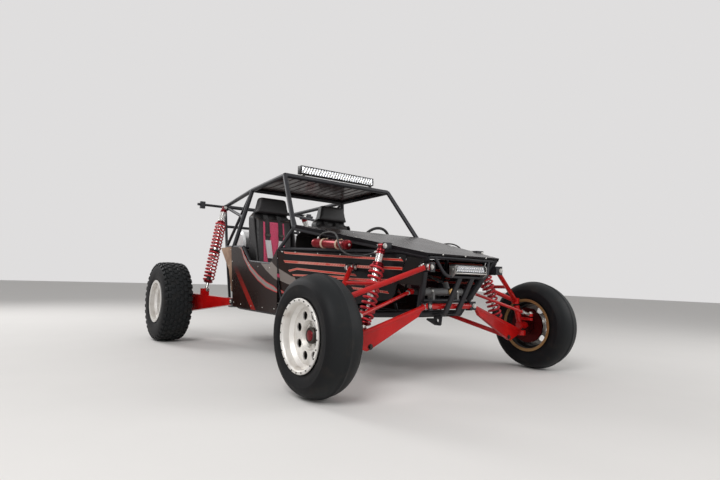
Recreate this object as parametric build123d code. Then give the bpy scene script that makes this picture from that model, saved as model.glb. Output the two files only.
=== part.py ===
from build123d import *
import math
import os

# A two-seat sand buggy: a tube frame, long-travel arms, four road wheels and an open cabin.
# Millimetres. +X forward, +Y to the driver's left, +Z up. Origin on the ground, midway along.
# Places are written as (ahead of the front axle, from the middle, above ground), left side.

# Stance
WHEELBASE = 2790
FRONT_TRACK = 2087
REAR_TRACK = 2090
FRONT_TYRE_R = 348
FRONT_TYRE_W = 239
REAR_TYRE_R = 390
REAR_TYRE_W = 273
FRONT_AXLE_X = (WHEELBASE + REAR_TYRE_R - FRONT_TYRE_R) / 2
REAR_AXLE = -WHEELBASE

# Tube diameters
MAIN_TUBE = 44
CAGE_TUBE = 40
BRACE_TUBE = 30
ARM_TUBE = 34
TAIL_TUBE = 28
HOOP_TUBE = 26

# Sheet, and clearances between bolted pieces and round turning shafts
PANEL = 3
GAP = 0.3
SHAFT_GAP = 0.05

# Rims and tyres
RIM_SEAT_R = 190
RIM_LIP_R = 207
RIM_WALL = 7
WELL_DROP = 18
FRONT_RIM_W = 222
REAR_RIM_W = 258
FRONT_DISH = 120
REAR_DISH = 140
DISC_PLATE = 10
HUB_BORE_R = 42
HOLE_CIRCLE = 266
HOLE_R = 24
HOLES = 8
FRONT_CROWN = 14
REAR_CROWN = 8

# Hubs, brakes and half shafts
BRAKE_R = 138
BRAKE_T = 14
HUB_FLANGE_R = 82
HUB_BARREL_R = 58
CAP_REACH = 46
SPINDLE_R = 20
SPINDLE_TIP = -10
BEARING_R = 34
CARRIER_IN = -245
CARRIER_OUT = -165
FLANGE_Y = 170

# Frame joints of one side
NOSE_TOP = (150, 335, 826)
NOSE_LOW = (-50, 200, 450)
COWL = (-975, 660, 1052)
COWL_LOW = (-1225, 646, 894)
SILL_FRONT = (-1340, 644, 770)
SILL_REAR = (-1775, 644, 796)
ENTRY_REAR = (-1930, 644, 932)
HOOP_BASE = (-2160, 644, 940)
ROOF_FRONT = (-1327, 572, 1530)
ROOF_REAR = (-2049, 530, 1497)
FLOOR_FRONT = (-1180, 600, 375)
FLOOR_REAR = (-2060, 600, 380)
BAY_FRONT = (-2220, 400, 378)
BAY_REAR = (-3000, 300, 330)
TOWER_TOP = (-2957, 432, 1434)
TOWER_LOW = (-2745, 478, 970)
TOWER_BAR = (-2851, 455, 1202)
SEAT_RAIL_FRONT = -1510
SEAT_RAIL_REAR = -1880
PEDAL_RAIL = -700
RACK_RAIL_Z = 540

# Suspension points of one side
UPPER_PIVOT_FRONT = (165, 352, 759)
UPPER_PIVOT_REAR = (-416, 512, 749)
UPPER_BALL = (-50, 870, 535)
LOWER_PIVOT_FRONT = (44, 230, 505)
LOWER_PIVOT_REAR = (-470, 397, 444)
LOWER_BALL = (4, 870, 296)
ARM_KNEE = (-40, 650, 240)
FRONT_SHOCK_TOP = (-110, 488, 892)
FRONT_SHOCK_LOW = (-60, 664, 352)
RACK = (-28, 300, 600)
TIE_EYE = (88, 870, 402)
TRAIL_PIVOT = (-2137, 616, 420)
REAR_SHOCK_TOP = (-2815, 500, 1400)
REAR_SHOCK_LOW = (-2600, 730, 515)

# Bushes, their brackets and the ball joints
EYE_R = 20
UPPER_EYE = 64
LOWER_EYE = 46
SHOCK_EYE = 44
TRAIL_EYE = 68
TRAIL_EYE_R = 33
EAR = 8
EAR_END = 12
BOLT_R = 7
BALL_R = 18
STUD_R = 12
CUP_R = 34
ARM_PLATE = 70

# Coil-over shocks: body, spring and wire radii, and the spring's seats as shares of the length
FRONT_BODY_R = 27
FRONT_SPRING_R = 50
REAR_BODY_R = 32
REAR_SPRING_R = 58
SHAFT_R = 11
WIRE = 13
BODY_END = 0.62
CUP_START = 0.9
CUP_END = 0.93
FRONT_SPRING_START = 0.24
REAR_SPRING_START = 0.2
FRONT_COILS = 9
REAR_COILS = 14

# Remote reservoirs and their hoses
RESERVOIR_R = 34
RESERVOIR_REAR = (-735, 620, 927)
RESERVOIR_FRONT = (-345, 585, 900)
HOSE_R = 6
HOSE_ROUTE = (
    RESERVOIR_FRONT,
    (-235, 575, 892),
    (-200, 592, 795),
    (-118, 604, 830),
    (-105, 534, 847),
)
HOSE_BENDS = (60, 45, 36)

# Cabin
SEAT_Y = 350
SEAT_W = 470
SEAT_WALL = 22
SEAT_LEG_R = 12
SEAT_OUTLINE = (
    # ahead of the front axle, above ground: round the outside of the shell from the front lip
    (-1440, 640),
    (-1470, 560),
    (-1850, 500),
    (-1950, 560),
    (-2040, 1240),
    (-2030, 1425),
    (-1950, 1430),
    (-1930, 1250),
    (-1900, 1150),
    (-1780, 760),
    (-1620, 700),
)
SEAT_INSIDE = (
    # the hollow between the wings: lip, seat and back, then open to the front
    (-1300, 760),
    (-1440, 652),
    (-1480, 590),
    (-1850, 545),
    (-1915, 590),
    (-2000, 1240),
    (-2000, 1270),
    (-1300, 1270),
)
SEAT_FRONT = (
    # from the seat's middle, above ground: half of the shell seen from the front
    (0, 480),
    (SEAT_W / 2 - 20, 480),
    (SEAT_W / 2, 700),
    (SEAT_W / 2, 1230),
    (SEAT_W / 2 - 55, 1290),
    (SEAT_W / 2 - 85, 1420),
    (SEAT_W / 2 - 110, 1440),
    (0, 1440),
)
PAD_OUTLINE = (
    # the cushion lies on the inside of the shell and is thick at the back and the seat
    (-1440, 652),
    (-1480, 590),
    (-1850, 545),
    (-1915, 590),
    (-2000, 1240),
    (-1955, 1240),
    (-1868, 640),
    (-1840, 598),
    (-1490, 648),
)
PEDAL_Y = 300
PEDAL_TOP = 764
PEDAL_ROD_R = 9
DASH_FACE = (
    # ahead of the front axle, above ground: a bent sheet from the cowl tube down
    (-978, 1030),
    (-1056, 994),
    (-1072, 800),
    (-1076, 800),
    (-1060, 997),
    (-978, 1034),
)

# Steering wheel and its raked shaft
STEER_R = 165
STEER_GRIP = 13
STEER_X = -1237
STEER_Z = 998
STEER_RAKE = 25
STEER_SHAFT = 250
STEER_SHAFT_R = 11

# Power
TANK_X, TANK_Z, TANK_R, TANK_HALF = -2345, 975, 140, 520
ENGINE = (-2700, -2250, 280, 402, 812)
ENGINE_MOUNTS = (-2640, -2320)
GEARBOX = (-2975, 150, 280, 520)

# Lamps
ROOF_LAMP_X, ROOF_LAMP_Z = -1345, 1576
ROOF_LAMP_W, ROOF_LAMP_H, ROOF_LAMP_D = 810, 72, 80
NOSE_LAMP_X, NOSE_LAMP_Z = 215, 728
NOSE_LAMP_W, NOSE_LAMP_H, NOSE_LAMP_D = 300, 55, 60
HOOP_CORNER = (222, 182, 710)
STRUT_Y = 50
TAIL_HALF, TAIL_STUB, TAIL_PLATE = 736, 30, 50

# Towing plate
TOW_HOLE_R = 13
TOW_PLATE = 16
TOW_HOLE = (-64, 400)


def at(x, y, z):
    """A point given by its distance ahead of the front axle, from the middle, and above ground."""
    return Vector(FRONT_AXLE_X + x, y, z)


def between(a, b, share):
    """A point on the line from a to b, as the same three measures."""
    return tuple(p + (q - p) * share for p, q in zip(a, b))


def at_height(a, b, z):
    """The point of the line from a to b that lies at a height."""
    return between(a, b, (z - a[2]) / (b[2] - a[2]))


def at_length(a, b, x):
    """The point of the line from a to b that lies at a distance ahead of the front axle."""
    return between(a, b, (x - a[0]) / (b[0] - a[0]))


def moved(point, dx=0, dy=0, dz=0):
    return (point[0] + dx, point[1] + dy, point[2] + dz)


def rod(start, end, radius):
    """A round bar from one point to another."""
    way = end - start
    return Solid.make_cylinder(radius, way.length, Plane(origin=start, z_dir=way))


def bar(start, end, diameter, run_on=0.0):
    """A tube between two places, run on past each by a share of its radius."""
    a = at(*start)
    b = at(*end)
    extra = (b - a).normalized() * (run_on * diameter / 2)
    return rod(a - extra, b + extra, diameter / 2)


def across(point, half_width, diameter):
    """A tube across the car, level with a place."""
    return rod(at(point[0], -half_width, point[2]), at(point[0], half_width, point[2]), diameter / 2)


def fuse(solids):
    """One part from solids that meet."""
    return Part() + solids


def biggest(shape):
    """The largest solid of a cut shape."""
    return max(shape.solids(), key=lambda s: s.volume)


def mirrored(shape):
    """The right-hand twin of a left-hand shape."""
    return mirror(shape, Plane.XZ)


def pair(shape):
    return Compound(children=[shape, mirrored(shape)])


def block(x0, x1, y0, y1, z0, z1):
    """A box from its limits, with x counted ahead of the front axle."""
    centre = at((x0 + x1) / 2, (y0 + y1) / 2, (z0 + z1) / 2)
    return Pos(centre) * Box(x1 - x0, y1 - y0, z1 - z0)


def plate(corners, thickness):
    """A flat panel through corner points, thickened about its middle."""
    origin = sum(corners, Vector(0, 0, 0)) / len(corners)
    first = corners[1] - corners[0]
    normal = first.cross(corners[-1] - corners[0])
    plane = Plane(origin=origin, x_dir=first, z_dir=normal)
    flat = [plane.to_local_coords(c) for c in corners]
    outline = Polyline(*[(p.X, p.Y) for p in flat], close=True)
    return extrude(plane * make_face(outline), thickness / 2, both=True)


def profile_prism(points, y0, y1):
    """A side outline of (ahead of the front axle, above ground) pairs, carried from y0 to y1."""
    plane = Plane(origin=at(0, (y0 + y1) / 2, 0), x_dir=(1, 0, 0), z_dir=(0, -1, 0))
    face = plane * make_face(Polyline(*points, close=True))
    return extrude(face, (y1 - y0) / 2, both=True)


def turned(profile, x, y, z):
    """A (radius, along the axle) outline turned about an axle that runs across the car."""
    frame = Plane(origin=at(x, y, z), x_dir=(1, 0, 0), z_dir=(0, 0, 1))
    face = frame * make_face(Polyline(*profile, close=True))
    return revolve(face, Axis(at(x, y, z), (0, 1, 0)))


def sheet_offset(tube):
    """How far the middle of a sheet lies from the axis of a tube that carries it."""
    return tube / 2 + GAP + PANEL / 2


# The frame and the cage


def make_frame_side():
    """The welded tubes of one side of the chassis, in one piece."""
    shoulder = at_length(NOSE_TOP, COWL, 0)
    upright = at_length(shoulder, COWL_LOW, UPPER_PIVOT_REAR[0])
    foot = at_length(NOSE_LOW, FLOOR_FRONT, UPPER_PIVOT_REAR[0])
    runs = (
        # from, to, diameter
        (NOSE_TOP, COWL, MAIN_TUBE),
        (NOSE_TOP, NOSE_LOW, MAIN_TUBE),
        (NOSE_LOW, FLOOR_FRONT, MAIN_TUBE),
        (FLOOR_FRONT, FLOOR_REAR, MAIN_TUBE),
        (shoulder, COWL_LOW, BRACE_TUBE),
        (upright, foot, BRACE_TUBE),
        (COWL, COWL_LOW, BRACE_TUBE),
        (COWL_LOW, SILL_FRONT, BRACE_TUBE),
        (SILL_FRONT, FLOOR_FRONT, BRACE_TUBE),
        (SILL_FRONT, SILL_REAR, BRACE_TUBE),
        (SILL_REAR, ENTRY_REAR, BRACE_TUBE),
        (ENTRY_REAR, HOOP_BASE, BRACE_TUBE),
        (HOOP_BASE, FLOOR_REAR, MAIN_TUBE),
        (FLOOR_REAR, BAY_FRONT, BRACE_TUBE),
        (BAY_FRONT, BAY_REAR, MAIN_TUBE),
        (HOOP_BASE, TOWER_LOW, BRACE_TUBE),
        (TOWER_LOW, BAY_REAR, BRACE_TUBE),
    )
    return fuse([bar(a, b, d, 0.4) for a, b, d in runs])


def make_cage_side(frame_side):
    """The welded tubes of one side of the roll cage, coped to the chassis below."""
    hoop_mid = between(ROOF_REAR, HOOP_BASE, 0.48)
    runs = (
        # from, to, diameter
        (COWL, ROOF_FRONT, CAGE_TUBE),
        (ROOF_FRONT, ROOF_REAR, CAGE_TUBE),
        (ROOF_REAR, HOOP_BASE, CAGE_TUBE),
        (ROOF_REAR, TOWER_TOP, CAGE_TUBE),
        (TOWER_TOP, TOWER_LOW, BRACE_TUBE),
        (TOWER_TOP, hoop_mid, BRACE_TUBE),
        (ROOF_REAR, TOWER_LOW, BRACE_TUBE),
    )
    cage = fuse([bar(a, b, d) for a, b, d in runs])
    return biggest(cage - frame_side)


def make_cross_tubes(places, sides):
    """Tubes across the car, coped to the two side frames."""
    tubes = []
    for place, diameter in places:
        tube = across(place, place[1] - diameter / 5, diameter)
        for side in sides:
            tube = biggest(tube - side)
        tubes.append(tube)
    return Compound(children=tubes)


def floor_rail(x):
    return at_length(FLOOR_FRONT, FLOOR_REAR, x)


RACK_RAIL = at_height(NOSE_TOP, NOSE_LOW, RACK_RAIL_Z)
PEDAL_CROSSING = at_length(at_length(NOSE_TOP, COWL, 0), COWL_LOW, PEDAL_RAIL)
FRAME_CROSSINGS = (
    (NOSE_TOP, BRACE_TUBE),
    (RACK_RAIL, BRACE_TUBE),
    (NOSE_LOW, BRACE_TUBE),
    (PEDAL_CROSSING, BRACE_TUBE),
    (COWL, MAIN_TUBE),
    (FLOOR_FRONT, BRACE_TUBE),
    (floor_rail(SEAT_RAIL_FRONT), BRACE_TUBE),
    (floor_rail(SEAT_RAIL_REAR), BRACE_TUBE),
    (FLOOR_REAR, MAIN_TUBE),
    (HOOP_BASE, BRACE_TUBE),
    (TOWER_LOW, BRACE_TUBE),
    (BAY_REAR, BRACE_TUBE),
)
CAGE_CROSSINGS = (
    (ROOF_FRONT, CAGE_TUBE),
    (ROOF_REAR, CAGE_TUBE),
    (TOWER_TOP, CAGE_TUBE),
    (TOWER_BAR, BRACE_TUBE),
)


# Wheels


def make_rim(x, y, z, width, dish):
    """A dished wheel: a barrel with two lips and a centre plate set in from the outer lip."""
    half = width / 2
    well = RIM_SEAT_R - WELL_DROP
    outside = (
        # radius, along the axle from the inner lip
        (RIM_LIP_R, -half),
        (RIM_LIP_R, -half + RIM_WALL),
        (RIM_SEAT_R, -half + RIM_WALL + 4),
        (RIM_SEAT_R, -half + 45),
        (well, -half + 65),
    )
    inside = (
        (well - RIM_WALL, half - 65),
        (RIM_SEAT_R - RIM_WALL, half - 45),
        (RIM_SEAT_R - RIM_WALL, half),
    )
    outer_half = [(r, -a) for r, a in reversed(outside)]
    inner_half = [(r, -a) for r, a in reversed(inside)]
    barrel = turned(list(outside) + outer_half + list(reversed(inside)) + list(reversed(inner_half)), x, y, z)
    plate_y = half - dish
    centre = turned(
        (
            (HUB_BORE_R, plate_y),
            (well - RIM_WALL + 2, plate_y),
            (well - RIM_WALL + 2, plate_y - DISC_PLATE),
            (HUB_BORE_R, plate_y - DISC_PLATE),
        ),
        x, y, z,
    )
    middle = at(x, y + plate_y - DISC_PLATE / 2, z)
    step = Vector(0, DISC_PLATE, 0)
    drills = []
    for index in range(HOLES):
        angle = math.radians(360 / HOLES * (index + 0.5))
        spot = middle + Vector(math.cos(angle), 0, math.sin(angle)) * (HOLE_CIRCLE / 2)
        drills.append(rod(spot - step, spot + step, HOLE_R))
    return fuse([barrel, centre]) - drills


def make_tyre(x, y, radius, width, crown):
    """A tyre on its rim: bead, bulged side wall, shoulder and a crowned tread, hollow inside."""
    half = width / 2
    bead = RIM_SEAT_R + GAP
    outside = (
        # radius, along the axle, from the bead to the middle of the tread
        (bead, half - 28),
        (RIM_LIP_R + 12, half - 12),
        (radius * 0.78, half),
        (radius - 28, half - 10),
        (radius - crown, half - 34),
        (radius, 0),
    )
    inside = (
        (radius - 22, 0),
        (radius - 40, half - 24),
        (RIM_LIP_R + 30, half - 20),
        (bead, half - 48),
    )
    far_outside = [(r, -a) for r, a in reversed(outside[:-1])]
    far_inside = [(r, -a) for r, a in reversed(inside[1:])]
    return turned(list(outside) + far_outside + far_inside + list(inside), x, y, radius)


def hub_nose(face, plate_y):
    """The outline of a hub from its flange out through the wheel to its cap."""
    return (
        (HUB_BARREL_R, face - 14),
        (HUB_FLANGE_R, face - 14),
        (HUB_FLANGE_R, face),
        (HUB_BORE_R - GAP, face),
        (HUB_BORE_R - GAP, plate_y + CAP_REACH - 12),
        (30, plate_y + CAP_REACH),
        (0, plate_y + CAP_REACH),
    )


def make_front_hub():
    """A front hub with its studs' flange, its outer cap and the brake disc."""
    plate_y = FRONT_RIM_W / 2 - FRONT_DISH
    face = plate_y - DISC_PLATE - GAP
    disc = face - 60
    inner = (
        # radius, along the axle outwards
        (SPINDLE_R + SHAFT_GAP, disc - 24),
        (HUB_BARREL_R + 4, disc - 24),
        (HUB_BARREL_R + 4, disc - BRAKE_T),
        (BRAKE_R, disc - BRAKE_T),
        (BRAKE_R, disc),
        (HUB_BARREL_R, disc),
    )
    bore = ((0, SPINDLE_TIP), (SPINDLE_R + SHAFT_GAP, SPINDLE_TIP))
    return turned(inner + hub_nose(face, plate_y) + bore, 0, FRONT_TRACK / 2, FRONT_TYRE_R)


def make_half_shaft():
    """A rear hub, brake disc and drive shaft in to the transaxle, with its two boots."""
    middle = REAR_TRACK / 2
    plate_y = REAR_RIM_W / 2 - REAR_DISH
    face = plate_y - DISC_PLATE - GAP
    disc = face - 40
    start = FLANGE_Y + GAP - middle
    inner = (
        # radius, along the axle outwards
        (0, start),
        (52, start),
        (52, start + 45),
        (40, start + 70),
        (20, start + 130),
        (16, start + 135),
        (16, CARRIER_IN - 155),
        (20, CARRIER_IN - 150),
        (40, CARRIER_IN - 90),
        (50, CARRIER_IN - 65),
        (50, CARRIER_IN - 26),
        (BEARING_R - SHAFT_GAP, CARRIER_IN - 26),
        (BEARING_R - SHAFT_GAP, CARRIER_OUT + GAP),
        (HUB_BARREL_R, CARRIER_OUT + GAP),
        (HUB_BARREL_R, disc - BRAKE_T),
        (BRAKE_R, disc - BRAKE_T),
        (BRAKE_R, disc),
        (HUB_BARREL_R, disc),
    )
    return turned(inner + hub_nose(face, plate_y), REAR_AXLE, middle, REAR_TYRE_R)


# Steering


def make_knuckle():
    """An upright between its two balls, with its spindle and forward steering arm."""
    axle = at(0, UPPER_BALL[1], FRONT_TYRE_R)
    low = at_height(LOWER_BALL, UPPER_BALL, LOWER_BALL[2] + 34)
    high = at_height(LOWER_BALL, UPPER_BALL, UPPER_BALL[2] - 38)
    root = at_height(LOWER_BALL, UPPER_BALL, TIE_EYE[2])
    tip = at(0, FRONT_TRACK / 2 + SPINDLE_TIP - 12, FRONT_TYRE_R)
    return fuse([
        bar(low, high, 46),
        bar(LOWER_BALL, UPPER_BALL, 2 * STUD_R),
        Pos(at(*LOWER_BALL)) * Sphere(BALL_R),
        Pos(at(*UPPER_BALL)) * Sphere(BALL_R),
        rod(axle - Vector(0, 26, 0), axle + Vector(0, 34, 0), 31),
        rod(axle, tip, SPINDLE_R),
        bar(root, moved(TIE_EYE, dx=-4), 24),
        bar(moved(TIE_EYE, dz=-9), moved(TIE_EYE, dz=9), 34),
    ])


def ball_cup(ball, down, up, radius):
    """A cup round a ball, with the ball's space and the stud's way out of it to cut away."""
    cup = bar(moved(ball, dz=-down), moved(ball, dz=up), 2 * radius)
    stud = bar(LOWER_BALL, UPPER_BALL, 2 * (STUD_R + GAP))
    return cup, [Pos(at(*ball)) * Sphere(BALL_R + GAP), stud]


def make_tie_rods():
    """The sliding rack bar with a tie rod at each end, and an eye above each steering arm."""
    eye = moved(TIE_EYE, dz=32)
    side = [
        bar(moved(RACK, dy=-14), moved(RACK, dy=14), 38),
        bar(RACK, eye, 22),
        bar(moved(eye, dz=-11), moved(eye, dz=11), 36),
    ]
    return fuse([across(RACK, RACK[1], 24)] + side + [mirrored(s) for s in side])


def make_steering_rack():
    """The rack housing across the nose, with its pinion tower and two feet on the rail below."""
    x, _, z = RACK
    feet = [block(x - 12, RACK_RAIL[0] + 12, s - 10, s + 10, RACK_RAIL[2], z) for s in (-120, 120)]
    pinion = rod(at(x - 10, 60, z + 10), at(x - 34, 66, z + 62), 20)
    shaft = rod(at(x - 30, 65, z + 54), at(-960, 344, 868), 9)
    body = fuse([across(RACK, 190, 52), pinion, shaft] + feet)
    bore = across(RACK, 260, 24 + 2 * SHAFT_GAP)
    return body - bore - across(RACK_RAIL, RACK_RAIL[1], BRACE_TUBE)


def steering_axis():
    """The middle of the steering wheel and the direction forward along its shaft."""
    rake = math.radians(STEER_RAKE)
    return at(STEER_X, SEAT_Y, STEER_Z), Vector(math.cos(rake), 0, -math.sin(rake))


def make_steering_wheel():
    """A round three-spoke wheel on its raked shaft."""
    hub, way = steering_axis()
    plane = Plane(origin=hub, x_dir=(0, 1, 0), z_dir=-way)
    spokes = []
    for angle in (0, 120, 240):
        spoke = Pos(0, STEER_R / 2, 0) * Box(26, STEER_R, 5)
        spokes.append(plane * (Rot(0, 0, angle + 180) * spoke))
    rim = plane * Torus(STEER_R, STEER_GRIP)
    boss = plane * Cylinder(34, 22)
    return fuse([rim, boss, rod(hub, hub + way * STEER_SHAFT, STEER_SHAFT_R)] + spokes)


# Suspension


def bush_plane(point, fore=(1, 0, 0), aft=(0, 0, 0)):
    """A plane at a bush: its x along the line through an arm's two bushes, its y outboard."""
    line = Vector(*fore) - Vector(*aft)
    outboard = Vector(0, 0, 1).cross(line)
    return Plane(origin=at(*point), x_dir=line, z_dir=line.cross(outboard))


def bush(plane, length, radius=EYE_R):
    return plane * (Rot(0, 90, 0) * Cylinder(radius, length))


def clevis(plane, length, reach, height, end=EAR_END):
    """Two ears either side of a bush, the web that joins them inboard, and the bolt through all."""
    outer = length / 2 + GAP + EAR
    ear = Box(EAR, reach + end, height)
    ears = [Pos(s * (outer - EAR / 2), (end - reach) / 2, 0) * ear for s in (-1, 1)]
    web = Pos(0, EAR / 2 - reach, 0) * Box(2 * outer, EAR, height)
    bolt = Rot(0, 90, 0) * Cylinder(BOLT_R, 2 * (outer + EAR))
    return plane * fuse(ears + [web, bolt])


UPPER_LINE = (UPPER_PIVOT_FRONT, UPPER_PIVOT_REAR)
LOWER_LINE = (LOWER_PIVOT_FRONT, LOWER_PIVOT_REAR)
TRAIL_PLANE = Plane(origin=at(*TRAIL_PIVOT), x_dir=(0, 1, 0), z_dir=(0, 0, 1))


def make_pivot_brackets(tubes, upper_arm, lower_arm):
    """The brackets that carry the arms and the tops of the shocks, coped to the tubes."""
    brackets = (
        # plane of the bush, its length, reach in to the tube, height
        (bush_plane(UPPER_PIVOT_FRONT, *UPPER_LINE), UPPER_EYE, 40, 60),
        (bush_plane(UPPER_PIVOT_REAR, *UPPER_LINE), UPPER_EYE, 78, 56),
        (bush_plane(LOWER_PIVOT_FRONT, *LOWER_LINE), LOWER_EYE, 36, 60),
        (bush_plane(LOWER_PIVOT_REAR, *LOWER_LINE), LOWER_EYE, 44, 60),
        (bush_plane(FRONT_SHOCK_TOP), SHOCK_EYE, 60, 44),
        (bush_plane(REAR_SHOCK_TOP), SHOCK_EYE, 34, 56),
        (TRAIL_PLANE, TRAIL_EYE, 62, 60),
    )
    return [biggest(clevis(*bracket) - tubes - upper_arm - lower_arm) for bracket in brackets]


def bolt_hole(plane, length):
    return bush(plane, length + 2 * EAR, BOLT_R)


def make_upper_arm():
    """A tube wishbone from the waist of the frame to the upper ball joint."""
    cup, spaces = ball_cup(UPPER_BALL, 22, 24, CUP_R - 4)
    planes = [bush_plane(p, *UPPER_LINE) for p in UPPER_LINE]
    tubes = [
        bar(UPPER_PIVOT_FRONT, UPPER_BALL, ARM_TUBE),
        bar(UPPER_PIVOT_REAR, UPPER_BALL, ARM_TUBE),
        bar(between(UPPER_PIVOT_FRONT, UPPER_BALL, 0.5), between(UPPER_PIVOT_REAR, UPPER_BALL, 0.5), ARM_TUBE - 8),
    ]
    eyes = [bush(p, UPPER_EYE) for p in planes]
    return fuse(tubes + [cup] + eyes) - spaces - [bolt_hole(p, UPPER_EYE) for p in planes]


def make_lower_arm():
    """A deep boxed wishbone of plate, with a rear leg, shock ears and a cup for the lower ball."""
    x = LOWER_BALL[0]
    inner = between(LOWER_PIVOT_FRONT, LOWER_BALL, 0.1)
    outline = (
        # from the middle, above ground
        (inner[1], inner[2] + 24),
        (inner[1], inner[2] - 26),
        (ARM_KNEE[1] - 50, ARM_KNEE[2] - 12),
        (ARM_KNEE[1], ARM_KNEE[2] - 20),
        (LOWER_BALL[1] - 20, LOWER_BALL[2] - 22),
        (LOWER_BALL[1] - 20, LOWER_BALL[2] + 8),
    )
    section = Plane(origin=at(x, 0, 0), x_dir=(0, 1, 0), z_dir=(1, 0, 0))
    box = extrude(section * make_face(Polyline(*outline, close=True)), ARM_PLATE / 2, both=True)
    cup, spaces = ball_cup(LOWER_BALL, 26, 14, CUP_R)
    planes = [bush_plane(p, *LOWER_LINE) for p in LOWER_LINE]
    neck = bar(LOWER_PIVOT_FRONT, between(LOWER_PIVOT_FRONT, LOWER_BALL, 0.14), ARM_TUBE)
    leg = bar(LOWER_PIVOT_REAR, ARM_KNEE, ARM_TUBE + 10)
    sx, sy, sz = FRONT_SHOCK_LOW
    outer = SHOCK_EYE / 2 + GAP + EAR
    ears = [block(sx + s - EAR / 2, sx + s + EAR / 2, sy - 22, sy + 22, sz - 60, sz + EAR_END)
            for s in (-outer + EAR / 2, outer - EAR / 2)]
    shelf = block(sx - outer, x, sy - 22, sy + 22, sz - 60, sz - 60 + EAR)
    bolt = bolt_hole(bush_plane(FRONT_SHOCK_LOW), SHOCK_EYE)
    eyes = [bush(p, LOWER_EYE) for p in planes]
    arm = fuse([box, cup, leg, neck, shelf, bolt] + ears + eyes)
    return arm - spaces - [bolt_hole(p, LOWER_EYE) for p in planes]


def make_trailing_arm():
    """A tapered box arm from its pivot back to the rear hub carrier, with the shock's ears."""
    x0, y0, z0 = TRAIL_PIVOT
    carrier_in = REAR_TRACK / 2 + CARRIER_IN
    carrier_out = REAR_TRACK / 2 + CARRIER_OUT
    front = Plane(origin=at(x0, y0, z0), x_dir=(0, 1, 0), z_dir=(-1, 0, 0))
    rear = Plane(
        origin=at(REAR_AXLE, (carrier_in + carrier_out) / 2, REAR_TYRE_R - 10), x_dir=(0, 1, 0), z_dir=(-1, 0, 0),
    )
    box = loft([front * Rectangle(56, 56), rear * Rectangle(66, 190)])
    hub_in, hub_out = at(REAR_AXLE, carrier_in, REAR_TYRE_R), at(REAR_AXLE, carrier_out, REAR_TYRE_R)
    carrier = rod(hub_in, hub_out, BEARING_R + 34)
    over = Vector(0, 30, 0)
    bore = rod(hub_in - over, hub_out + over, BEARING_R)
    sx, sy, sz = REAR_SHOCK_LOW
    outer = SHOCK_EYE / 2 + GAP + EAR
    ears = [block(sx + s - EAR / 2, sx + s + EAR / 2, sy - 20, sy + 50, sz - 80, sz + EAR_END)
            for s in (-outer + EAR / 2, outer - EAR / 2)]
    bolt = bolt_hole(bush_plane(REAR_SHOCK_LOW), SHOCK_EYE)
    arm = fuse([box, carrier, bush(TRAIL_PLANE, TRAIL_EYE, TRAIL_EYE_R), bolt] + ears)
    return arm - bore - bolt_hole(TRAIL_PLANE, TRAIL_EYE)


def make_shock(top, low, body_r, spring_start):
    """A coil-over damper without its springs: two eyes, a body from the top and a bright shaft."""
    collar = spring_start - 12 / (at(*low) - at(*top)).length
    ends = [bush_plane(p) for p in (top, low)]
    solids = [
        bar(between(top, low, 0.06), between(top, low, BODY_END), 2 * body_r),
        bar(between(top, low, BODY_END - 0.02), between(top, low, CUP_END + 0.02), 2 * SHAFT_R),
        bar(between(top, low, collar), between(top, low, spring_start), 2 * body_r + 28),
        bar(between(top, low, CUP_START), between(top, low, CUP_END), 2 * body_r + 28),
        bar(top, between(top, low, 0.08), 24),
        bar(between(top, low, CUP_END), low, 26),
    ]
    return fuse(solids + [bush(p, SHOCK_EYE) for p in ends]) - [bolt_hole(p, SHOCK_EYE) for p in ends]


def make_spring(top, low, body_r, radius, spring_start, coils):
    """Coils drawn as a ribbed sleeve round the damper, between its collar and its cup."""
    a = at(*between(top, low, spring_start))
    way = at(*between(top, low, CUP_START)) - a
    pitch = way.length / coils
    inner = body_r + 4
    points = [(inner, 0)]
    for index in range(coils):
        points += [(radius - WIRE, index * pitch), (radius, (index + 0.5) * pitch)]
    points += [(radius - WIRE, way.length), (inner, way.length)]
    plane = Plane(origin=a, z_dir=way)
    section = Plane(origin=a, x_dir=plane.x_dir, z_dir=-plane.y_dir)
    return revolve(section * make_face(Polyline(*points, close=True)), Axis(a, way))


def make_reservoir():
    """A remote reservoir along the hood rail, in two clamps that reach in to the rail."""
    solids = [bar(RESERVOIR_REAR, RESERVOIR_FRONT, 2 * RESERVOIR_R)]
    for share in (0.3, 0.72):
        middle = between(RESERVOIR_REAR, RESERVOIR_FRONT, share)
        ends = [between(RESERVOIR_REAR, RESERVOIR_FRONT, share + s) for s in (-0.03, 0.03)]
        solids.append(bar(ends[0], ends[1], 2 * RESERVOIR_R + 12))
        solids.append(bar(middle, at_length(NOSE_TOP, COWL, middle[0]), 18))
    return biggest(fuse(solids) - bar(NOSE_TOP, COWL, MAIN_TUBE))


def make_shock_hose():
    """The braided hose that joins a front shock to its reservoir."""
    points = [at(*p) for p in HOSE_ROUTE]
    path = FilletPolyline(*points, radius=HOSE_BENDS)
    section = Plane(origin=points[0], z_dir=points[1] - points[0]) * Circle(HOSE_R)
    return sweep(section, path)


# Body panels and cabin


def skin_point(point, tube, normal):
    """A place moved off a tube's axis to the middle of the sheet that covers the tube."""
    return tuple(p + n * sheet_offset(tube) for p, n in zip(point, (normal.X, normal.Y, normal.Z)))


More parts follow.
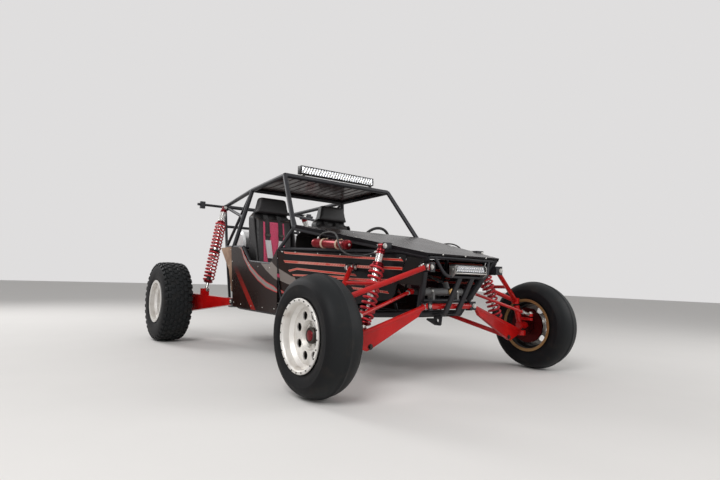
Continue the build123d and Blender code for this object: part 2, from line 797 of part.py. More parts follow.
def make_side_panel(brackets):
    """A front side panel, outside the frame from the nose back to the entry, slotted for the arm."""
    top_front = at_length(NOSE_TOP, COWL, 0)
    low_rear = at_length(NOSE_LOW, FLOOR_FRONT, -1000)
    normal = (Vector(*low_rear) - Vector(*top_front)).cross(Vector(*COWL_LOW) - Vector(*top_front)).normalized()
    normal = normal if normal.Y > 0 else -normal
    a = skin_point(moved(top_front, dz=-16), MAIN_TUBE, normal)
    b = skin_point(moved(COWL_LOW, dz=-16), MAIN_TUBE, normal)
    c = skin_point(low_rear, MAIN_TUBE, normal)
    sheet = plate([at(*p) for p in (a, b, c, on_sheet(a, b, c, -160, 604))], PANEL)
    return biggest(sheet - brackets)


def on_sheet(a, b, c, x, z):
    """The point of the plane through a, b and c that has the given length and height."""
    normal = (Vector(*b) - Vector(*a)).cross(Vector(*c) - Vector(*a))
    y = a[1] - (normal.X * (x - a[0]) + normal.Z * (z - a[2])) / normal.Y
    return (x, y, z)


def make_entry_panel():
    """The side panel below the cut-down entry."""
    places = (COWL_LOW, SILL_FRONT, SILL_REAR, ENTRY_REAR, HOOP_BASE, FLOOR_REAR, FLOOR_FRONT)
    y = HOOP_BASE[1] + MAIN_TUBE / 2 + GAP
    return profile_prism([(p[0], p[2]) for p in places], y, y + PANEL)


def make_rear_quarter_panel():
    """The bare side sheet behind the hoop, narrowing to the trailing arm's pivot."""
    y = HOOP_BASE[1] + MAIN_TUBE / 2 + GAP
    points = ((-2161, 940), (-2420, 938), (-2195, 725), (-2112, 520), (-2085, 514))
    return profile_prism(points, y, y + PANEL)


def sheet_on_rails(front, rear, tube, below=False):
    """A sheet across the car that lies on, or hangs under, a left and a right tube."""
    way = Vector(*rear) - Vector(*front)
    normal = Vector(0, 1, 0).cross(way).normalized()
    normal = normal if (normal.Z > 0) != below else -normal
    shift = normal * sheet_offset(tube)
    corners = [front, (front[0], -front[1], front[2]), (rear[0], -rear[1], rear[2]), rear]
    return plate([at(*c) + shift for c in corners], PANEL)


def make_hood():
    """The hood, from the nose to the cowl."""
    return sheet_on_rails(moved(NOSE_TOP, dx=10, dy=6, dz=-2), at_length(NOSE_TOP, COWL, COWL[0] + 34), MAIN_TUBE)


def make_belly_pan():
    """The floor: a flat part under the cabin and a part that rises to the nose."""
    front = at_length(NOSE_LOW, FLOOR_FRONT, -112)
    flat = sheet_on_rails(FLOOR_FRONT, FLOOR_REAR, MAIN_TUBE, below=True)
    return fuse([flat, sheet_on_rails(front, FLOOR_FRONT, MAIN_TUBE, below=True)])


def make_firewall():
    """The sheet on the front of the hoop's legs, behind the seats."""
    top = at_height(HOOP_BASE, FLOOR_REAR, HOOP_BASE[2] - 28)
    low = at_height(HOOP_BASE, FLOOR_REAR, FLOOR_REAR[2] + 28)
    return sheet_on_rails(top, low, MAIN_TUBE)


def make_dash():
    """The dash panel below the cowl tube, with the boss that carries the steering shaft."""
    half = COWL[1] - 70
    hub, way = steering_axis()
    bore = rod(hub, hub + way * 400, STEER_SHAFT_R + SHAFT_GAP)
    boss = block(-1064, -1018, SEAT_Y - 36, SEAT_Y + 36, 876, 936)
    dash = fuse([profile_prism(DASH_FACE, -half, half), boss])
    return biggest(dash - bore - across(COWL, COWL[1], MAIN_TUBE))


def make_seat():
    """A bucket shell with wings and a narrower head rest, on four legs to the rails below."""
    half = SEAT_W / 2
    outer = profile_prism(SEAT_OUTLINE, -half, half)
    hollow = profile_prism(SEAT_INSIDE, SEAT_WALL - half, half - SEAT_WALL)
    outline = SEAT_FRONT + tuple((-y, z) for y, z in reversed(SEAT_FRONT[1:-1]))
    section = Plane(origin=at(-1700, 0, 0), x_dir=(0, 1, 0), z_dir=(1, 0, 0))
    front = extrude(section * make_face(Polyline(*outline, close=True)), 500, both=True)
    legs = []
    rails = []
    for x, top in ((SEAT_RAIL_FRONT, 566), (SEAT_RAIL_REAR, 532)):
        rail = floor_rail(x)
        rails.append(across(rail, rail[1], BRACE_TUBE))
        legs += [rod(at(x, y, rail[2]), at(x, y, top), SEAT_LEG_R) for y in (-160, 160)]
    shell = (outer - hollow) & front
    return Pos(0, SEAT_Y, 0) * (fuse([shell] + legs) - rails)


def make_seat_pad():
    """The seat and back cushion in one, on the inside of the shell."""
    half = SEAT_W / 2 - SEAT_WALL
    return Pos(0, SEAT_Y, 0) * profile_prism(PAD_OUTLINE, -half, half)


def make_pedals():
    """Two pedals on a pivot that hangs from the rail above the footwell."""
    top = PEDAL_CROSSING[2]
    solids = [rod(at(PEDAL_RAIL, PEDAL_Y - 130, PEDAL_TOP), at(PEDAL_RAIL, PEDAL_Y + 130, PEDAL_TOP), PEDAL_ROD_R)]
    for y in (PEDAL_Y - 120, PEDAL_Y + 120):
        solids.append(rod(at(PEDAL_RAIL, y, PEDAL_TOP), at(PEDAL_RAIL, y, top), PEDAL_ROD_R))
    for y in (PEDAL_Y - 70, PEDAL_Y + 20):
        solids.append(rod(at(PEDAL_RAIL, y, PEDAL_TOP), at(-790, y, 520), PEDAL_ROD_R))
        solids.append(block(-800, -780, y - 32, y + 32, 480, 540))
    return biggest(fuse(solids) - across(PEDAL_CROSSING, PEDAL_CROSSING[1], BRACE_TUBE))


def make_gear_lever():
    """A gear lever with a round knob, on a box that stands on the floor."""
    floor = floor_rail(-1450)[2] - MAIN_TUBE / 2
    base = block(-1450, -1330, -40, 40, floor, 470)
    return fuse([base, rod(at(-1390, 0, 460), at(-1370, 0, 760), PEDAL_ROD_R), Pos(at(-1370, 0, 770)) * Sphere(24)])


# Power and lamps


def make_fuel_tank():
    """A round tank across the car, held by a stub at each end to the braces beside it."""
    tank = rod(at(TANK_X, -TANK_HALF, TANK_Z), at(TANK_X, TANK_HALF, TANK_Z), TANK_R)
    tank = chamfer(tank.edges().filter_by(GeomType.CIRCLE), 20)
    brace = at_length(HOOP_BASE, TOWER_LOW, TANK_X)
    stub = rod(at(TANK_X, TANK_HALF - 10, brace[2]), at(*brace), 14)
    tubes = [bar(HOOP_BASE, TOWER_LOW, BRACE_TUBE)]
    tubes.append(mirrored(tubes[0]))
    return biggest(fuse([tank, stub, mirrored(stub)]) - tubes)


def make_engine():
    """The engine as one plain block, with a foot to each frame rail at two places."""
    x0, x1, half, low, high = ENGINE
    rail = bar(BAY_FRONT, BAY_REAR, MAIN_TUBE)
    feet = []
    for x in ENGINE_MOUNTS:
        _, y, z = at_length(BAY_FRONT, BAY_REAR, x)
        foot = block(x - 30, x + 30, half - 20, y + 12, z + 4, low + 24)
        feet += [foot, mirrored(foot)]
    return biggest(fuse([block(x0, x1, -half, half, low, high)] + feet) - [rail, mirrored(rail)])


def make_transaxle():
    """The gearbox behind the engine, with an output flange each side."""
    x, half, low, high = GEARBOX
    flanges = rod(at(REAR_AXLE, -FLANGE_Y, REAR_TYRE_R), at(REAR_AXLE, FLANGE_Y, REAR_TYRE_R), 50)
    return fuse([block(x, ENGINE[0] - GAP, -half, half, low, high), flanges])


def make_roof_lamp():
    """The lamp bar above the front of the roof, on a foot at each end."""
    x, z, half = ROOF_LAMP_X, ROOF_LAMP_Z, ROOF_LAMP_W / 2
    roof = at_length(ROOF_FRONT, ROOF_REAR, x)[2] + CAGE_TUBE / 2 + 2 * GAP + PANEL
    lamp = block(x - ROOF_LAMP_D, x, -half, half, z, z + ROOF_LAMP_H)
    foot = block(x - 24, x - 4, half - 44, half - 20, roof, z + 4)
    return fuse([lamp, foot, mirrored(foot)])


def make_nose_lamp():
    """The lamp bar at the nose, with a side plate down to the hoop at each end."""
    x, z, half = NOSE_LAMP_X, NOSE_LAMP_Z, NOSE_LAMP_W / 2
    lamp = block(x - NOSE_LAMP_D, x, -half, half, z, z + NOSE_LAMP_H)
    ear = block(x - 40, x + 2, half - 4, half, HOOP_CORNER[2], z + NOSE_LAMP_H - 10)
    return biggest(fuse([lamp, ear, mirrored(ear)]) - across(HOOP_CORNER, HOOP_CORNER[1], HOOP_TUBE))


def make_nose_hoop(crossings):
    """The hoop round the nose lamp and the two struts down to the front of the frame."""
    leg = bar(HOOP_CORNER, moved(NOSE_TOP, dx=4, dy=-70), HOOP_TUBE, 0.5)
    strut = rod(at(HOOP_CORNER[0], STRUT_Y, HOOP_CORNER[2]), at(NOSE_LOW[0], STRUT_Y, NOSE_LOW[2]), HOOP_TUBE / 2)
    solids = [leg, mirrored(leg), strut, mirrored(strut), across(HOOP_CORNER, HOOP_CORNER[1], HOOP_TUBE)]
    return biggest(fuse(solids) - crossings)


def make_tow_eye():
    """A thick towing plate below the front of the frame, with a hole for a shackle."""
    x, z = TOW_HOLE
    body = profile_prism(((-28, 442), (-72, 442), (-96, 427), (-84, 372), (-48, 372)), -TOW_PLATE / 2, TOW_PLATE / 2)
    hole = rod(at(x, -TOW_PLATE, z), at(x, TOW_PLATE, z), TOW_HOLE_R)
    return biggest(body - hole - across(NOSE_LOW, NOSE_LOW[1], BRACE_TUBE))


def make_tail_bar():
    """The bar behind the cage, with a lamp plate near each end and a free stub past it."""
    x = TOWER_TOP[0] - (CAGE_TUBE + TAIL_TUBE) / 2 - GAP
    z = TOWER_TOP[2]
    outer = TAIL_HALF - TAIL_STUB
    half = TAIL_TUBE / 2 + 4
    lamp = block(x - half, x + half, outer - TAIL_PLATE, outer, z - 42, z + 34)
    return fuse([across((x, 0, z), TAIL_HALF, TAIL_TUBE), lamp, mirrored(lamp)])


def export(name, shape):
    export_step(shape, f"parts/{name}.step")


def main():
    os.makedirs("parts", exist_ok=True)
    frame = make_frame_side()
    cage = make_cage_side(frame)
    sides = (frame, mirrored(frame), cage, mirrored(cage))
    crossings = make_cross_tubes(FRAME_CROSSINGS, sides)
    front_shock = (FRONT_SHOCK_TOP, FRONT_SHOCK_LOW, FRONT_BODY_R)
    rear_shock = (REAR_SHOCK_TOP, REAR_SHOCK_LOW, REAR_BODY_R)
    upper_arm, lower_arm = make_upper_arm(), make_lower_arm()
    brackets = make_pivot_brackets([frame, cage] + crossings.solids(), upper_arm, lower_arm)
    springs = (
        make_spring(*front_shock, FRONT_SPRING_R, FRONT_SPRING_START, FRONT_COILS),
        make_spring(*rear_shock, REAR_SPRING_R, REAR_SPRING_START, REAR_COILS),
    )
    handed = (
        # one node a side
        ("frame_side", frame),
        ("cage_side", cage),
        ("rim_front", make_rim(0, FRONT_TRACK / 2, FRONT_TYRE_R, FRONT_RIM_W, FRONT_DISH)),
        ("rim_rear", make_rim(REAR_AXLE, REAR_TRACK / 2, REAR_TYRE_R, REAR_RIM_W, REAR_DISH)),
        ("tyre_front", make_tyre(0, FRONT_TRACK / 2, FRONT_TYRE_R, FRONT_TYRE_W, FRONT_CROWN)),
        ("tyre_rear", make_tyre(REAR_AXLE, REAR_TRACK / 2, REAR_TYRE_R, REAR_TYRE_W, REAR_CROWN)),
        ("hub_front", make_front_hub()),
        ("half_shaft", make_half_shaft()),
        ("knuckle", make_knuckle()),
        ("seat", make_seat()),
        ("seat_pad", make_seat_pad()),
    )
    for name, shape in handed:
        export(f"{name}_left", shape)
        export(f"{name}_right", mirrored(shape))
    twins = (
        # both sides in one node
        ("upper_arms", upper_arm),
        ("lower_arms", lower_arm),
        ("trailing_arms", make_trailing_arm()),
        ("front_shocks", make_shock(*front_shock, FRONT_SPRING_START)),
        ("rear_shocks", make_shock(*rear_shock, REAR_SPRING_START)),
        ("reservoirs", make_reservoir()),
        ("shock_hoses", make_shock_hose()),
        ("side_panels", make_side_panel(brackets)),
        ("entry_panels", make_entry_panel()),
        ("rear_quarter_panels", make_rear_quarter_panel()),
    )
    for name, shape in twins:
        export(name, pair(shape))
    singles = (
        ("shock_springs", Compound(children=[s for spring in springs for s in (spring, mirrored(spring))])),
        ("pivot_brackets", Compound(children=[b for bracket in brackets for b in (bracket, mirrored(bracket))])),
        ("frame_cross_tubes", crossings),
        ("cage_cross_tubes", make_cross_tubes(CAGE_CROSSINGS, sides)),
        ("tie_rods", make_tie_rods()),
        ("steering_rack", make_steering_rack()),
        ("steering_wheel", make_steering_wheel()),
        ("pedals", make_pedals()),
        ("gear_lever", make_gear_lever()),
        ("hood", make_hood()),
        ("roof_panel", sheet_on_rails(ROOF_FRONT, ROOF_REAR, CAGE_TUBE)),
        ("belly_pan", make_belly_pan()),
        ("firewall", make_firewall()),
        ("dash_panel", make_dash()),
        ("fuel_tank", make_fuel_tank()),
        ("engine", make_engine()),
        ("transaxle", make_transaxle()),
        ("roof_light_bar", make_roof_lamp()),
        ("nose_light_bar", make_nose_lamp()),
        ("nose_hoop", make_nose_hoop(crossings)),
        ("tow_eye", make_tow_eye()),
        ("tail_bar", make_tail_bar()),
    )
    for name, shape in singles:
        export(name, shape)


main()
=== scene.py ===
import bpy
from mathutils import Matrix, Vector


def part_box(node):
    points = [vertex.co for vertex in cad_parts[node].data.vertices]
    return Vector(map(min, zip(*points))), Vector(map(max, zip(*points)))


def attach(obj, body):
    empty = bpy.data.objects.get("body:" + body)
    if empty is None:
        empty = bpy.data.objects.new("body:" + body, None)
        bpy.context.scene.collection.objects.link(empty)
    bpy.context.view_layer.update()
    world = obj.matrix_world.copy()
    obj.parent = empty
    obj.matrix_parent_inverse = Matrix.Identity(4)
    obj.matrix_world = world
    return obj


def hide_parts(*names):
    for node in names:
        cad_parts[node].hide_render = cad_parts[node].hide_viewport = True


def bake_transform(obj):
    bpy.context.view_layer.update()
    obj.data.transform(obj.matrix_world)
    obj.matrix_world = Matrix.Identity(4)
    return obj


bl_info = {
    "name": "Sand Buggy",
    "version": (1, 0, 0),
    "blender": (4, 5, 0),
    "location": "View3D > Sidebar > Buggy",
    "description": "Dresses the frame of a two-seat sand buggy with its detailed pieces and finishes",
    "category": "Object",
}

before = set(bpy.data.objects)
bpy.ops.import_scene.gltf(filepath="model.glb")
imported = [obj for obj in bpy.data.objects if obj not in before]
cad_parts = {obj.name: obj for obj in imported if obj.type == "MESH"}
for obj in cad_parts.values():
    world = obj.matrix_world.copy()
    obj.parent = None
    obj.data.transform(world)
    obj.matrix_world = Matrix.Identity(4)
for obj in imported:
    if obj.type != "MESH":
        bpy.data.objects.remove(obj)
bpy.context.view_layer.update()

import math

import bmesh
import bpy
from bpy.props import FloatProperty, FloatVectorProperty, IntProperty, PointerProperty
from mathutils import Matrix, Vector

# Metres, +X forward, +Y to the driver's left, +Z up. Places are written in millimetres as
# (ahead of the front axle, from the middle, above ground), for the left side.
TYRE_LOW, TYRE_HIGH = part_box("tyre_front_left")
AXLE_X = (TYRE_LOW.x + TYRE_HIGH.x) / 2
MERGE = 0.00001
MM = 0.001
AHEAD, BACK, LEFT = (1, 0, 0), (-1, 0, 0), (0, 1, 0)

# A front wheel's centre: face of the bowl for the nuts, and the eight holes round it
FRONT_FACE = 12
HOLE_COUNT = 8
HOLE_R = 25
HOLE_CIRCLE = 238
HOLE_TURN = math.radians(18)

# Wheels: which end, ahead of the front axle, from the middle, radius, rim width, face of the centre plate
WHEELS = (
    ("front", 0, 1043.5, 348, 222, FRONT_FACE),
    ("rear", -2790, 1045, 390, 258, -11),
)
FRONT_WHEEL, REAR_WHEEL = (wheel[1:4] for wheel in WHEELS)
SIDES = (("left", 1), ("right", -1))

# Shocks: name, top eye, lower eye, body radius, spring radius, spring's start, split, turns
FRONT_EYES = ((-110, 488, 892), (-60, 664, 352))
REAR_EYES = ((-2815, 500, 1400), (-2600, 730, 515))
SHOCKS = (
    ("front", *FRONT_EYES, 27, 50, 0.24, 0.0, 10.5),
    ("rear", *REAR_EYES, 32, 58, 0.2, 0.5, 16.5),
)
SPRING_END = 0.9


def at(ahead, across, up):
    """A place in the frame's metres from the three millimetre measures."""
    return Vector((AXLE_X + ahead * MM, across * MM, up * MM))


def mm(*sizes):
    return Vector([size * MM for size in sizes])


def between(a, b, share):
    return tuple(p + (q - p) * share for p, q in zip(a, b))


def by(*sizes):
    """The matrix of a move in millimetres."""
    return Matrix.Translation(mm(*sizes))


def upright(ahead, across, up):
    """The matrix that puts a part's origin at a place, unturned."""
    return Matrix.Translation(at(ahead, across, up))


def spun(angle, axis="Z"):
    return Matrix.Rotation(angle, 4, axis)


def aim(place, way, turn=0.0):
    """The matrix that puts a part's origin at a place with its Z along a direction."""
    return Matrix.Translation(place) @ Vector(way).to_track_quat("Z", "Y").to_matrix().to_4x4() @ spun(turn)


def wheel_place(ahead, across, up, side):
    """The matrix of a wheel's middle, with Z outboard."""
    return aim(at(ahead, across * side, up), (0, side, 0))


def settings():
    return bpy.context.scene.buggy


def linked(name, data):
    """A new object in the scene."""
    made = bpy.data.objects.new(name, data)
    bpy.context.scene.collection.objects.link(made)
    return made


# Finishes


class Value:
    """A number, colour or direction that varies over a surface, so that sums on it add maths nodes."""

    def __init__(self, finish, socket):
        self.finish = finish
        self.socket = socket

    def maths(self, operation, *terms):
        return self.finish.node("ShaderNodeMath", {"operation": operation}, dict(enumerate(terms)))

    def __add__(self, other):
        return self.maths("ADD", self, other)

    __radd__ = __add__

    def __sub__(self, other):
        return self.maths("SUBTRACT", self, other)

    def __rsub__(self, other):
        return self.maths("SUBTRACT", other, self)

    def __mul__(self, other):
        return self.maths("MULTIPLY", self, other)

    __rmul__ = __mul__

    def __truediv__(self, other):
        return self.maths("DIVIDE", self, other)

    def __pow__(self, other):
        return self.maths("POWER", self, other)

    def __abs__(self):
        return self.maths("ABSOLUTE", self)

    def most(self, other):
        return self.maths("MAXIMUM", self, other)

    def wave(self):
        return self.maths("SINE", self)

    def rise(self, low, high):
        """0 below low, 1 above high and smooth between them; low may be the larger."""
        sockets = {0: self, 1: low, 2: high, 3: 0.0, 4: 1.0}
        return self.finish.node("ShaderNodeMapRange", {"interpolation_type": "SMOOTHSTEP"}, sockets)


class Finish:
    """A material or world under way, with the nodes that make it."""

    def __init__(self, holder):
        holder.use_nodes = True
        self.holder = holder
        self.tree = holder.node_tree
        self.tree.nodes.clear()

    def node(self, kind, settings=None, sockets=None, output=0):
        """Any node, from its type, its settings and what its sockets hold or are linked to."""
        made = self.tree.nodes.new(kind)
        for name, setting in (settings or {}).items():
            if name == "course":
                self.set_course(made.mapping, setting)
            else:
                setattr(made, name, setting)
        for name, given in (sockets or {}).items():
            socket = made.inputs[name]
            if isinstance(given, Value):
                self.tree.links.new(given.socket, socket)
            elif socket.type == "RGBA":
                socket.default_value = (*given[:3], 1.0)
            else:
                socket.default_value = given
        return Value(self, made.outputs[output])

    def set_course(self, mapping, course):
        """A line of (in, out) points, both from 0 to 1, with straight runs between them."""
        curve = mapping.curves[0]
        while len(curve.points) < len(course):
            curve.points.new(0.5, 0.5)
        for point, place in zip(curve.points, course):
            point.location = place
            point.handle_type = "VECTOR"
        mapping.update()

    def here(self):
        return self.node("ShaderNodeTexCoord", output="Object")

    def facing(self):
        return self.node("ShaderNodeTexCoord", output="Normal")

    def split(self, vector):
        """The x, y and z of a vector."""
        made = self.node("ShaderNodeSeparateXYZ", None, {0: vector}).socket.node
        return [Value(self, socket) for socket in made.outputs]

    def counted(self, centre):
        """Object coordinates counted from a centre."""
        return self.node("ShaderNodeVectorMath", {"operation": "SUBTRACT"}, {0: self.here(), 1: centre})

    def placed(self, turn=(0, 0, 0), stretch=(1, 1, 1)):
        """Object coordinates, turned and stretched."""
        sockets = {"Vector": self.here(), "Rotation": turn, "Scale": stretch}
        return self.node("ShaderNodeMapping", None, sockets)

    def noise(self, scale, detail=2.0, where=None):
        sockets = {"Vector": where or self.here(), "Scale": scale, "Detail": detail}
        return self.node("ShaderNodeTexNoise", None, sockets)

    def cells(self, scale):
        return self.node("ShaderNodeTexVoronoi", None, {"Vector": self.here(), "Scale": scale})

    def tint(self, share, first, second):
        """The first colour, with a share of the second."""
        return self.node("ShaderNodeMix", {"data_type": "RGBA"}, {0: share, 6: first, 7: second}, 2)

    def dusted(self, colour, amount, dust=(0.30, 0.19, 0.12)):
        """Fine sand on what faces up, thicker in some places."""
        up = self.split(self.facing())[2]
        share = up.rise(0.1, 1.0) * self.noise(14, 5).rise(0.35, 0.75) * amount
        return self.tint(share, colour, dust)

    def bump(self, height, depth):
        return self.node("ShaderNodeBump", None, {"Height": height, "Distance": depth, "Strength": 1.0})

    def surface(self, colour, roughness, metallic=0.0, normal=None, **fixed):
        """The finished material; the fixed values are named as the shader's sockets, with _ for a space."""
        sockets = {"Base Color": colour, "Roughness": roughness, "Metallic": metallic}
        if normal:
            sockets["Normal"] = normal
        sockets.update({name.replace("_", " "): value for name, value in fixed.items()})
        return self.ended(self.node("ShaderNodeBsdfPrincipled", None, sockets), "ShaderNodeOutputMaterial")

    def ended(self, shader, kind):
        """What holds the nodes, once its shader is linked to its output."""
        out = self.tree.nodes.new(kind)
        self.tree.links.new(shader.socket, out.inputs["Surface"])
        return self.holder


def powder_coat(f, colour, shade, roughness, dust, coat=0.0):
    """Sprayed and baked paint: a fine orange-peel skin, cloudy depth and dust on top."""
    cloud = f.noise(7, 4)
    peel = f.noise(520, 2)
    paint = f.dusted(f.tint(cloud.rise(0.3, 0.7), colour, shade), dust)
    rough = roughness + cloud * 0.12 + peel * 0.06
    skin = f.bump(peel, 0.00025)
    return f.surface(paint, rough, normal=skin, Coat_Weight=coat, Coat_Roughness=0.08, IOR=1.3)


def bare_metal(f, colour, roughness, stretch=(1, 1, 1), depth=0.00008, dust=0.15):
    """Machined, spun or brushed metal, with its lines along one way and a little staining."""
    lines = f.noise(180, 3, f.placed(stretch=stretch))
    stain = f.noise(11, 4)
    dull = tuple(c * 0.72 for c in colour)
    metal = f.dusted(f.tint(stain.rise(0.4, 0.8), colour, dull), dust)
    rough = roughness + lines * 0.14 + stain * 0.08
    return f.surface(metal, rough, 0.95, f.bump(lines, depth))


def cast_metal(f, grain, patch, limits, clean, stained, dust, roughness, spread, metallic, depth):
    """Sand-cast metal: a coarse skin, dull, with oil and dust in its hollows."""
    skin = f.noise(grain, 4)
    colour = f.tint(f.noise(patch, 5).rise(*limits), clean, stained)
    return f.surface(f.dusted(colour, dust), roughness + skin * spread, metallic, f.bump(skin, depth))


def wheel_metal(f, wheel, back, lip):
    """Bright cast wheel ringed about its axle, with painted shade almost black behind its plate, and a bronze
    inner lip.
    """
    x, y, z = f.split(f.counted(at(wheel[0], 0, wheel[2])))
    radius = (x * x + z * z) ** 0.5
    rings = (radius * 5200).wave()
    grain = f.noise(420, 3)
    stain = f.noise(9, 5)
    colour = f.tint(stain.rise(0.45, 0.85), settings().wheel_silver, (0.46, 0.41, 0.36))
    # Painted shade: inboard of the centre plate the barrel is painted almost black
    behind = abs(y).rise(back, back - 0.004) * radius.rise(0.091, 0.095)
    colour = f.tint(behind, colour, (0.022, 0.019, 0.018))
    colour = f.tint(abs(y).rise(lip + 0.007, lip + 0.004), colour, (0.30, 0.17, 0.07))
    height = rings * 0.3 + grain
    return f.surface(colour, 0.3 + grain * 0.16 + stain * 0.1, 0.55, f.bump(height, 0.00018))


def tyre_rubber(f, wheel):
    """Black rubber, with a painted sky reflection that makes the tread greyer and a little blue, fine rings
    pressed in the side wall and a little dust.
    """
    x, _, z = f.split(f.counted(at(wheel[0], 0, wheel[2])))
    radius = (x * x + z * z) ** 0.5
    tread = wheel[2] * MM
    tread_band = radius.rise(tread - 0.06, tread)
    skin = f.noise(260, 4)
    stain = f.noise(12, 5)
    rings = (radius * 900).wave() * (1 - tread_band) * 0.25
    # Painted reflection: the tread band is painted a bluish grey for the sky's sheen on it
    rubber = f.tint(tread_band * 0.7, (0.006, 0.006, 0.007), (0.018, 0.020, 0.021))
    dusty = f.tint(stain.rise(0.5, 0.85) * 0.10, rubber, (0.13, 0.09, 0.06))
    return f.surface(dusty, 0.48 + skin * 0.2 - tread_band * 0.06, normal=f.bump(skin + rings, 0.0004), IOR=1.25)


def webbing(f, colour, dark):
    """Strap weave: fine ribs across and a slanted twill."""
    x, y, z = f.split(f.here())
    ribs = ((x + z) * 2200).wave() * 0.5 + (y * 1900 + z * 900).wave() * 0.5
    cloth = f.tint(ribs.rise(-0.8, 0.8), dark, colour)
    return f.surface(cloth, 0.7, normal=f.bump(ribs, 0.0006), Sheen_Weight=0.2)


# Finishes that share a maker, with what the maker takes for each
SHARED = (
    (powder_coat, {
        "frame_black": ((0.006, 0.006, 0.007), (0.012, 0.011, 0.012), 0.24, 0.12),
        "satin_black": ((0.009, 0.008, 0.008), (0.018, 0.015, 0.014), 0.36, 0.14),
        "lamp_case": ((0.008, 0.008, 0.009), (0.016, 0.015, 0.015), 0.3, 0.12),
    }),
    (bare_metal, {
        "polished_steel": ((0.74, 0.73, 0.71), 0.1, (0.5, 0.5, 4), 0.00004, 0.05),
        "machined_steel": ((0.34, 0.32, 0.30), 0.26, (1, 4, 1)),
        "zinc": ((0.62, 0.61, 0.58), 0.24),
        "dark_bolt": ((0.06, 0.055, 0.05), 0.36),
        "gold_lip": ((0.42, 0.25, 0.10), 0.3),
        "brushed_aluminium": ((0.66, 0.66, 0.66), 0.3, (1, 0.08, 1), 0.00006, 0.03),
        "hub_red": ((0.075, 0.010, 0.010), 0.3, (1, 1, 1), 0.00008, 0.05),
    }),
    (cast_metal, {
        "cast_aluminium": (320, 13, (0.35, 0.8), (0.34, 0.33, 0.32), (0.12, 0.11, 0.10), 0.3, 0.42, 0.2,
                           0.8, 0.0006),
        "engine_grey": (260, 10, (0.3, 0.8), (0.075, 0.075, 0.08), (0.03, 0.027, 0.025), 0.35, 0.46, 0.2,
                        0.55, 0.0007),
        "rack_grey": (300, 16, (0.4, 0.75), (0.36, 0.35, 0.34), (0.16, 0.13, 0.11), 0.3, 0.4, 0.18, 0.6,
                      0.0005),
    }),
    (wheel_metal, {
        "front_wheel": (FRONT_WHEEL, 1.074, 0.9325),
        "rear_wheel": (REAR_WHEEL, 1.02, 0.916),
    }),
    (tyre_rubber, {
        "front_rubber": (FRONT_WHEEL,),
        "rear_rubber": (REAR_WHEEL,),
    }),
    (webbing, {
        "black_strap": ((0.022, 0.021, 0.022), (0.008, 0.008, 0.009)),
        "grey_strap": ((0.80, 0.79, 0.79), (0.6, 0.59, 0.6)),
    }),
)


FINISHES = {}


def listed(make):
    """Keep a maker by its finish's name."""
    FINISHES[make.__name__.removeprefix("make_")] = make
    return make


@listed
def make_gloss_black(f):
    """Polished panel paint that has picked up fine swirls and dust."""
    swirl = f.cells(38)
    cloud = f.noise(4, 4)
    paint = f.dusted(f.tint(cloud.rise(0.3, 0.7), (0.004, 0.004, 0.005), (0.010, 0.007, 0.009)), 0.08)
    return f.surface(paint, 0.2 + cloud * 0.08 + swirl * 0.03, IOR=1.22)


@listed
def make_roof_brown(f):
    """The roof sheet, dark with a reddish brown tone on its lower side."""
    under = f.split(f.facing())[2].rise(0.2, -0.6)
    cloud = f.noise(6, 4)
    top = f.tint(cloud, (0.012, 0.011, 0.012), (0.022, 0.018, 0.018))
    paint = f.tint(under, top, (0.030, 0.011, 0.009))
    return f.surface(f.dusted(paint, 0.15), 0.3 + cloud * 0.2, Coat_Weight=0.4, Coat_Roughness=0.15)


@listed
def make_red_coat(f):
    colour = settings().red_coat
    return powder_coat(f, colour, tuple(c * 0.7 for c in colour), 0.2, 0.06, 0.3)


@listed
def make_spring_red(f):
    colour = settings().spring_red
    return powder_coat(f, colour, tuple(c * 0.7 for c in colour), 0.16, 0.04, 0.7)


@listed
def make_anodised_red(f):
    """Dyed aluminium: bright, clear red with fine turning lines."""
    lines = f.noise(150, 3, f.placed(stretch=(0.4, 0.4, 5)))
    colour = f.tint(f.noise(18, 3), (0.13, 0.003, 0.007), (0.24, 0.008, 0.014))
    return f.surface(colour, 0.2 + lines * 0.16, 0.75, f.bump(lines, 0.00006))


@listed
def make_black_rubber(f):
    skin = f.noise(300, 3)
    colour = f.dusted(f.tint(f.noise(20, 3), (0.007, 0.007, 0.007), (0.017, 0.016, 0.016)), 0.2)
    return f.surface(colour, 0.5 + skin * 0.2, normal=f.bump(skin, 0.0004))


@listed
def make_rose_cloth(f):
    """Woven seat cloth: warp over weft, with a soft cloudy fade."""
    x, y, z = f.split(f.here())
    weave = (y * 2600).wave() * ((x + z * 0.7) * 2600).wave()
    fade = f.noise(9, 4)
    colour = settings().seat_rose
    deep = tuple(c * 0.8 for c in colour)
    cloth = f.tint(weave.rise(-0.9, 0.9) * 0.5 + fade * 0.3, deep, colour)
    return f.surface(cloth, 0.82, normal=f.bump(weave + f.noise(900, 2), 0.0009), Sheen_Weight=0.35)


@listed
def make_seat_vinyl(f):
    """Grained black seat cover."""
    grain = f.cells(340)
    cloud = f.noise(8, 4)
    colour = f.dusted(f.tint(cloud, (0.009, 0.009, 0.010), (0.021, 0.019, 0.020)), 0.2)
    return f.surface(colour, 0.38 + grain * 0.25, normal=f.bump(grain, 0.0005))


@listed
def make_lens(f):
    """Clear cover with a little dust."""
    dust = f.noise(30, 4).rise(0.45, 0.9)
    colour = f.tint(dust * 0.2, (0.95, 0.96, 0.97), (0.6, 0.52, 0.44))
    return f.surface(colour, 0.03 + dust * 0.1, Transmission_Weight=1.0, IOR=1.3)


@listed
def make_reflector(f):
    spots = f.noise(60, 3)
    return f.surface(f.tint(spots, (0.92, 0.92, 0.93), (0.74, 0.75, 0.78)), 0.12 + spots * 0.08, 0.9)


@listed
def make_led(f):
    spots = f.noise(300, 2)
    return f.surface(f.tint(spots, (0.9, 0.84, 0.5), (0.75, 0.62, 0.25)), 0.3 + spots * 0.2)


